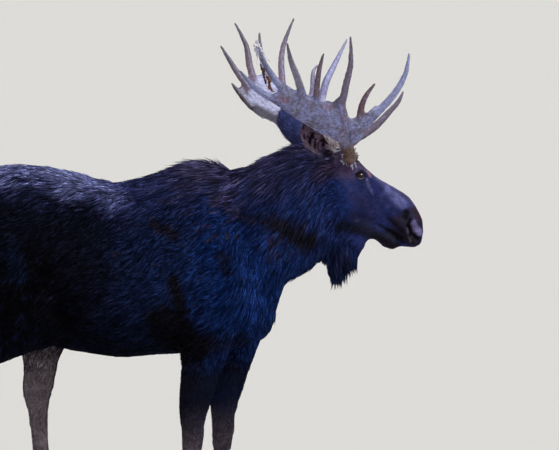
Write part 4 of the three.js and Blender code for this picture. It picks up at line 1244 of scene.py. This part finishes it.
def sown(chosen, density):
    """Roots and skin directions, density to the square metre, evenly over the chosen faces.

    The faces' areas are added up to a line, which is marked off in steps of one lock;
    each mark, moved a little at random, picks its face and then a place in it.
    """
    faces = skin_faces[chosen]
    a, b, c = (skin_points[faces[:, k]] for k in range(3))
    total = np.cumsum(np.linalg.norm(np.cross(b - a, c - a), axis=1) / 2 * density)
    marks = np.arange(0.5, total[-1])
    picks = np.searchsorted(total, marks + rng.uniform(-0.45, 0.45, len(marks)))
    picks = np.clip(picks, 0, len(faces) - 1)
    r, s = rng.random((2, len(picks)))
    over = r + s > 1
    r, s = np.where(over, 1 - r, r), np.where(over, 1 - s, s)
    corner = skin_points[faces[picks]]
    direction = skin_normals[faces[picks]]
    shares = np.stack([1 - r - s, r, s], axis=1)[..., None]
    return np.sum(corner * shares, axis=1), unit(np.sum(direction * shares, axis=1))


ROOTED = 0.0015                       # each lock starts this far under the skin
THIRDS = (0.0, 2.094, 4.189)          # of a turn: the three corners of a ring
TAPER = (1.0, 0.85, 0.6)              # each ring's share of the width
CLUMP = 0.3                           # size of a cell, as a share of the locks' length
ROW = 4001                            # more cells than there are in any row


def clumped(roots, tips, length, pull):
    """Each lock's cell, its share of the pull, and the way from its tip to the cell's middle.

    The cells are cubes, bent by soft random values, and a cell's middle is its mean tip.
    """
    sway = np.stack([cloud(roots, 0.07, k) - 0.5 for k in (1.5, 4.5, 8.5)], 1)
    bent = roots + CLUMP * length[:, None] * sway
    cell = np.floor(bent / (CLUMP * np.median(length))).astype(np.int64)
    key = (cell[:, 0] * ROW + cell[:, 1]) * ROW + cell[:, 2]
    _, index = np.unique(key, return_inverse=True)
    index = index.ravel()
    middle = gather(index, tips, index.max() + 1) / np.bincount(index)[:, None]
    return index, pull * rng.uniform(0.5, 1.0, len(roots))[:, None], middle[index] - tips


def locks(roots, normals, way, length, width, rise, fall, stages, pull):
    """Closed three-sided spikes: a ring at the root, rings on the way, and a point.

    The path leaves the skin at the angle rise and ends at the angle fall; one of a single
    stage is straight. Returns the points (N, P, 3), the faces of one spike, and the cell
    in which each is clumped.
    """
    count = len(roots)
    across = np.cross(normals, way)
    path = [roots - ROOTED * normals]
    for stage in range(stages):
        angle = rise + (fall - rise) * (stage / max(stages - 1, 1))
        heading = np.cos(angle)[:, None] * way + np.sin(angle)[:, None] * normals
        path.append(path[-1] + (length / stages)[:, None] * heading)
    cell = np.arange(count)
    if pull > 0:
        cell, share, to_middle = clumped(roots, path[-1], length, pull)
        for stage in range(1, stages + 1):
            path[stage] = path[stage] + share * (stage / stages) ** 1.5 * to_middle
    rings = []
    roll = rng.uniform(-0.6, 0.6, count)
    for stage in range(stages):
        size = width * TAPER[stage] / 2
        for corner in THIRDS:
            turn = (corner + roll)[:, None]
            side = np.cos(turn) * across + 0.5 * np.sin(turn) * normals
            rings.append(path[stage] + size[:, None] * side)
    rings.append(path[-1])
    faces = [(0, 1, 2)]
    for stage in range(stages - 1):
        for k in range(3):
            a, b = 3 * stage + k, 3 * stage + (k + 1) % 3
            faces += [(a, a + 3, b), (b, a + 3, b + 3)]
    top = 3 * (stages - 1)
    faces += [(top + k, top + 3, top + (k + 1) % 3) for k in range(3)]
    return np.stack(rings, axis=1), np.array(faces), cell


coat_material, shader = new_material("guard_hair", 0.5, 0.012)
strands = add_noise(coat_material, 0.003, 2.0, stretch=(3, 1, 3))
coloured(coat_material, shader, 0.75, 1.3, strands)
bumped(coat_material, shader, 0.4, 0.0008, strands)

BAKE_PATCH = 0.003                    # each lock's share of its UV map, across and along
SLEEVE_MARKS = 14
HAIR_END = tone(142, 146, 196)        # the pale ends of frosted hairs
STREAK = 0.006                        # width of the streaks of brightness
STREAK_SPREAD = 0.09                  # how far their random values usually are from the middle
BRIGHTEST = 2.5                       # no lock is brighter than this many times its colour


def unrolled(place, along):
    """Round a limb and along it, each 0 to 1: the sleeve of its skin, cut open and laid flat.

    The angle is taken round the middle of the limb, found at marks along the axis given.
    """
    other = [k for k in range(3) if k != along]
    marks = np.linspace(place[:, along].min(), place[:, along].max(), SLEEVE_MARKS)
    step = marks[1] - marks[0]
    middle = []
    for mark in marks:
        band = place[np.abs(place[:, along] - mark) <= step]
        middle.append((band[:, other].min(axis=0) + band[:, other].max(axis=0)) / 2)
    middle = np.array(middle)
    off = [place[:, other[k]] - np.interp(place[:, along], marks, middle[:, k]) for k in range(2)]
    round_limb = np.arctan2(off[0], off[1]) / (2 * np.pi) + 0.5
    along_limb = (place[:, along] - marks[0]) / (marks[-1] - marks[0])
    return np.clip(np.stack([round_limb, along_limb], 1), 0, 1) * (1 - 2 * BAKE_PATCH) + BAKE_PATCH


def lock_tones(roots, normals, way, length, cell, towards_end, style):
    """Colour of every point of every lock: (N, P, 3).

    The hide's colour, darker at the root with painted shade of the coat over it, and paler at
    a frosted end, times a brightness that differs from streak to streak along the hair, from
    cell to cell and from lock to lock.
    """
    count = len(roots)
    contrast, painted_root_shade = style["contrast"], style["painted_root_shade"]
    colour, frost = paint(roots, normals)
    cell_tone = rng.normal(0, 1, cell.max() + 1)[cell]
    steps = [cloud(roots + k * 0.2 * length[:, None] * way, STREAK, 3.7) for k in range(-2, 3)]
    streak = (np.mean(steps, axis=0) - 0.5) / STREAK_SPREAD
    own = 1.5 * contrast
    own_tone = own * (rng.normal(size=count) - own / 2)
    bright = np.minimum(np.exp(contrast * streak + 0.10 * cell_tone + own_tone), BRIGHTEST)
    pale = colour + frost[:, None] * rng.uniform(0.2, 1.0, (count, 1)) * (HAIR_END - colour) * 0.6
    shades = colour[:, None] * (painted_root_shade + (1 - painted_root_shade) * towards_end)[:, None]
    shades = shades + (pale - colour)[:, None] * (towards_end ** 1.3)[:, None]
    return shades * bright[:, None, None]


def add_coat(name, roots, normals, sleeve, style):
    """One coat piece of locks; the style's shape gives length, width, rise and fall."""
    way = lie(roots, normals)
    length, width, rise, fall = np.broadcast_arrays(*style["shape"](roots, normals))
    length = length * rng.uniform(0.72, 1.22, len(roots))
    stages = style["stages"]
    corners, faces, cell = locks(roots, normals, way, length, width, rise, fall, stages, style["pull"])
    count, each = corners.shape[:2]
    all_faces = (faces[None] + (np.arange(count) * each)[:, None, None]).reshape(-1, 3)
    piece = write_mesh(name, corners.reshape(-1, 3), all_faces)
    towards_end = np.append(np.repeat(np.arange(stages) / stages, 3), 1.0)
    tones = lock_tones(roots, normals, way, length, cell, towards_end, style)
    dress(piece, tones.reshape(-1, 3), coat_material)

    # Each lock is a small patch of the map, at the place of its root on the sleeve.
    around = np.append(np.tile([-0.5, 0.5, 0.0], stages), 0.0)
    patch = np.stack([around, towards_end - 0.5], axis=1) * BAKE_PATCH
    flat = (sleeve[:, None] + patch).reshape(-1, 2)
    layer = piece.data.uv_layers.new(name="OFBake")
    layer.data.foreach_set("uv", flat[all_faces.ravel()].astype(np.float32).ravel())
    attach(piece, "root")


def body_shape(points, normals):
    """Length, width and angles of the locks of trunk and upper legs."""
    crest = 1 - ramp(below_top(points), 0.05, 0.30)
    mane = mane_amount(points) * (1 - 0.6 * ramp(normals[:, 0], 0.15, 0.45))
    length = 0.037 + 0.031 * crest + 0.045 * mane
    length = length * (1 - 0.45 * (1 - ramp(points[:, 2], 0.80, 1.05)))
    rise = 0.42 + mane * (0.10 * ramp(points[:, 0], -0.02, 0.10) - 0.14)
    return length, 0.0052 + 0.0017 * crest, rise, 0.06


def neck_shape(points, _):
    """Long shaggy locks, longest on the crest and shorter and finer towards the face."""
    mane = mane_amount(points)
    slim = 1 - 0.82 * ramp(face_amount(points), 0.0, 0.9)
    length = (0.070 + 0.045 * mane) * slim
    width = (0.0052 + 0.0015 * mane) * (0.4 + 0.6 * slim)
    return length, width, (0.36 + 0.18 * mane) * (0.6 + 0.4 * slim), 0.05


def bell_shape(points, _):
    """Hanging locks of the throat and its bell, longest and loosest in front."""
    ahead, _, up = in_head(points).T
    front = ramp(ahead, -0.135, -0.105) * (1 - ramp(ahead, -0.02, 0.03)) * (1 - ramp(up, -0.37, -0.29))
    length = 0.036 + 0.024 * ramp(up, -0.44, -0.34) + 0.044 * front
    tip = 1 - ramp(up, -0.47, -0.40)
    return length, 0.0060, 0.30 + 0.30 * front + 0.2 * tip, -0.05 + 0.65 * front


def short_shape(points, _):
    """Sleek hair of the lower legs and the face, smallest at nose, lips and eyes.

    Before the ears it stands up as a tuft, and over the hooves it hangs as a feather.
    """
    head = face_amount(points)
    place = in_head(points)
    length = 0.020 - 0.006 * head - 0.006 * head * ramp(place[:, 0], 0.05, 0.25)
    off_eye = ramp(eye_opening(place), 1.4, 3.4)
    length = length * (0.4 + 0.6 * off_eye * head + 0.6 * (1 - head))
    tuft = ramp(ear_tuft(points), 0.3, 0.7)
    feather = (1 - head) * (1 - ramp(points[:, 2], 0.09, 0.15))
    length = length + 0.036 * tuft + 0.022 * feather
    width = (0.15 - 0.08 * tuft - 0.07 * feather) * length + 0.0008
    return length, width, 0.20 + 0.3 * tuft + 0.2 * feather, 0.2 + 0.2 * tuft - 0.3 * feather


def ear_shape(points, normals):
    """Short hair on the back of the ears, long pale fringe at their edges."""
    length = np.full(len(points), 0.016)
    for side in ("left", "right"):
        _, t, _ = ear_place(points, side)
        _, _, _, facing, _ = ear_frame(side)
        inner = ramp(normals @ facing, -0.2, 0.3) * ear_amount(points, side)
        length = length + 0.022 * inner * ramp(np.abs(t), 0.5, 0.9) + 0.008 * inner
    length = length + 0.032 * ramp(ear_tuft(points), 0.3, 0.7)
    return length, 0.10 * length + 0.001, 0.34, 0.15


# Which part of the coat each face of the skin grows; the eyes and nostrils stay bare.
centres = skin_points[skin_faces].mean(axis=1)
centre_place = in_head(centres)
off_middle = np.abs(centre_place[:, 1])
head_share = face_amount(centres)
before_shoulder = centres @ np.array([1.0, 0, -0.35]) > -0.22
is_ear = sum(ear_amount(centres, side) for side in ("left", "right")) > 0.3
is_head = (head_share > 0.25) & ~is_ear
is_bell = (bell_amount(centres) > 0.5) & (head_share < 0.9) & ~is_ear
is_neck = before_shoulder & (centres[:, 0] > 0.16) & (centres[:, 2] > 1.10)
is_neck &= (head_share < 0.94) & ~is_bell & ~is_ear
is_leg = (centres[:, 2] < 0.80) & ~is_neck & ~is_bell
is_trunk = ~(is_ear | is_head | is_bell | is_neck | is_leg)
bare_eye = (eye_opening(centre_place) < 1.5) & (off_middle > 0.05)
nostril = side_stroke(centre_place * [1, 0, 1], (0.252, -0.300), (0.286, -0.318), 0.012)
bare_nostril = (nostril > 0.4) & (off_middle > 0.03)
furred = ~((bare_eye | bare_nostril) & (head_share > 0.5))

DENSITY = {"trunk": 24000, "neck": 27000, "bell": 26000, "head": 62000, "leg": 46000, "ear": 60000}

# How each part's locks are made: their shape, the rings along them, how strongly they
# clump, how dark their roots are painted as shade inside the coat, and how much their
# brightness differs.
STYLES = {
    "trunk": {"shape": body_shape, "stages": 2, "pull": 0.4, "painted_root_shade": 0.58, "contrast": 0.40},
    "neck": {"shape": neck_shape, "stages": 2, "pull": 0.4, "painted_root_shade": 0.58, "contrast": 0.40},
    "bell": {"shape": bell_shape, "stages": 3, "pull": 0.6, "painted_root_shade": 0.6, "contrast": 0.3},
    "head": {"shape": short_shape, "stages": 1, "pull": 0.0, "painted_root_shade": 1.0, "contrast": 0.20},
    "leg": {"shape": short_shape, "stages": 1, "pull": 0.0, "painted_root_shade": 0.8, "contrast": 0.15},
    "ear": {"shape": ear_shape, "stages": 2, "pull": 0.3, "painted_root_shade": 0.7, "contrast": 0.15},
}


def coat_of(chosen, style, along, bands, place_of=lambda points: points):
    """Sows one part and splits it into pieces: bands = {piece name: test of the roots}.

    Along is the part's long axis, 0 ahead or 2 up, of the places that place_of gives.
    """
    roots, directions = sown(chosen & furred, DENSITY[style])
    sleeve = unrolled(place_of(roots), along)
    for name, test in bands.items():
        use = test(roots)
        add_coat(f"coat_{name}", roots[use], directions[use], sleeve[use], STYLES[style])


def halves(prefix, marks, leftness=lambda points: points[:, 1]):
    """Left and right pieces between marks along the body."""
    bands = {}
    for side, sign in (("left", 1), ("right", -1)):
        for k in range(len(marks) - 1):
            bands[f"{prefix}_{side}_{k + 1}"] = (
                lambda p, sign=sign, low=marks[k], high=marks[k + 1]:
                (leftness(p) * sign > 0) & (p[:, 0] >= low) & (p[:, 0] < high))
    return bands


def whole(name):
    """One piece for all the roots."""
    return {name: lambda p: np.full(len(p), True)}


# The marks -2 and 2 are past both ends of the body.
coat_of(is_trunk, "trunk", 0, halves("trunk", (-2, -0.78, -0.42, -0.08, 2)))
coat_of(is_neck, "neck", 0, halves("neck", (-2, 2)))
coat_of(is_bell, "bell", 2, whole("bell"))
coat_of(is_head, "head", 0, halves("head", (-2, 2), lambda p: in_head(p)[:, 1]), in_head)
for side, sign in (("left", 1), ("right", -1)):
    coat_of(is_ear & (centre_place[:, 1] * sign > 0), "ear", 2, whole(f"ear_{side}"))
    for end, here in (("front", centres[:, 0] > -0.35), ("hind", centres[:, 0] <= -0.35)):
        this_leg = is_leg & here & (centres[:, 1] * sign > 0)
        coat_of(this_leg, "leg", 2, whole(f"leg_{end}_{side}"))

# ---------------------------------------------------- floor, lights and camera
# A plain pale floor, soft lamps high over the back and before the face, and a long
# lens far off, a little above the animal's back.

FLOOR_REACH = 70.0                    # on three sides, and more behind the animal
FLOOR_BACK = 110.0
floor_material, shader = new_material("floor", 0.9, 0.1)
shader.inputs["Base Color"].default_value = (0.72, 0.70, 0.66, 1)
floor_corners = np.array([[-FLOOR_REACH, -FLOOR_REACH, 0], [FLOOR_REACH, -FLOOR_REACH, 0],
                          [FLOOR_REACH, FLOOR_BACK, 0], [-FLOOR_REACH, FLOOR_BACK, 0]])
floor = write_mesh("floor", floor_corners, np.array([[0, 1, 2, 3]]))
floor.data.materials.append(floor_material)

# The sky lights the animal; the camera and mirrored rays see the warmer backdrop instead.
world = bpy.data.worlds.new("studio")
bpy.context.scene.world = world
world.use_nodes = True
nodes, links = world.node_tree.nodes, world.node_tree.links
sky = nodes["Background"]
sky.inputs["Color"].default_value = (0.92, 0.95, 1.0, 1)
sky.inputs["Strength"].default_value = 0.30
backdrop = nodes.new("ShaderNodeBackground")
backdrop.inputs["Color"].default_value = (0.70, 0.69, 0.66, 1)
seen = nodes.new("ShaderNodeLightPath")
pick = nodes.new("ShaderNodeMixShader")
share = seen.outputs["Is Camera Ray"]
for ray in ("Is Glossy Ray", "Is Transmission Ray"):
    either = nodes.new("ShaderNodeMath")
    either.operation = "MAXIMUM"
    links.new(share, either.inputs[0])
    links.new(seen.outputs[ray], either.inputs[1])
    share = either.outputs["Value"]
links.new(share, pick.inputs["Fac"])
links.new(sky.outputs["Background"], pick.inputs[1])
links.new(backdrop.outputs["Background"], pick.inputs[2])
links.new(pick.outputs["Shader"], nodes["World Output"].inputs["Surface"])


def soft_sun(name, towards, strength, softness, mirrored=False, tint=(1, 1, 1)):
    """Even light from the direction given, softened over that many degrees.

    A mirrored one shows only in gloss, as the glint of the eye; the others only light.
    """
    light = bpy.data.lights.new(name, "SUN")
    light.energy = strength
    light.angle = np.radians(softness)
    light.color = tint
    lamp = bpy.data.objects.new(name, light)
    bpy.context.scene.collection.objects.link(lamp)
    lamp.rotation_euler = Vector(towards).to_track_quat("Z", "Y").to_euler()
    lamp.visible_glossy = mirrored
    lamp.visible_diffuse = not mirrored


soft_sun("overhead", (0.15, -0.12, 1.0), 1.9, 80)
soft_sun("before_face", (0.8, -0.75, 0.75), 0.75, 50)
soft_sun("eye_light", (0.60, -0.8, 0.98), 14.0, 38, mirrored=True, tint=(0.62, 0.78, 1.0))

CAMERA_DISTANCE = 40.0
CAMERA_RISE = np.radians(5.0)
VIEW_WIDTH = 2.727                    # seen from side to side, at the animal
VIEW_MIDDLE = Vector((0.4544, -0.0019, 1.522))
SENSOR = 36.0                         # millimetres, like the lens
camera_data = bpy.data.cameras.new("camera")
camera_data.sensor_width = SENSOR
camera_data.lens = SENSOR * CAMERA_DISTANCE / VIEW_WIDTH
camera_data.clip_end = 500.0
camera = bpy.data.objects.new("camera", camera_data)
bpy.context.scene.collection.objects.link(camera)
camera.location = VIEW_MIDDLE + CAMERA_DISTANCE * Vector((0, -np.cos(CAMERA_RISE), np.sin(CAMERA_RISE)))
camera.rotation_euler = (np.pi / 2 - CAMERA_RISE, 0, 0)
bpy.context.scene.camera = camera
bpy.context.scene.view_settings.view_transform = "Standard"
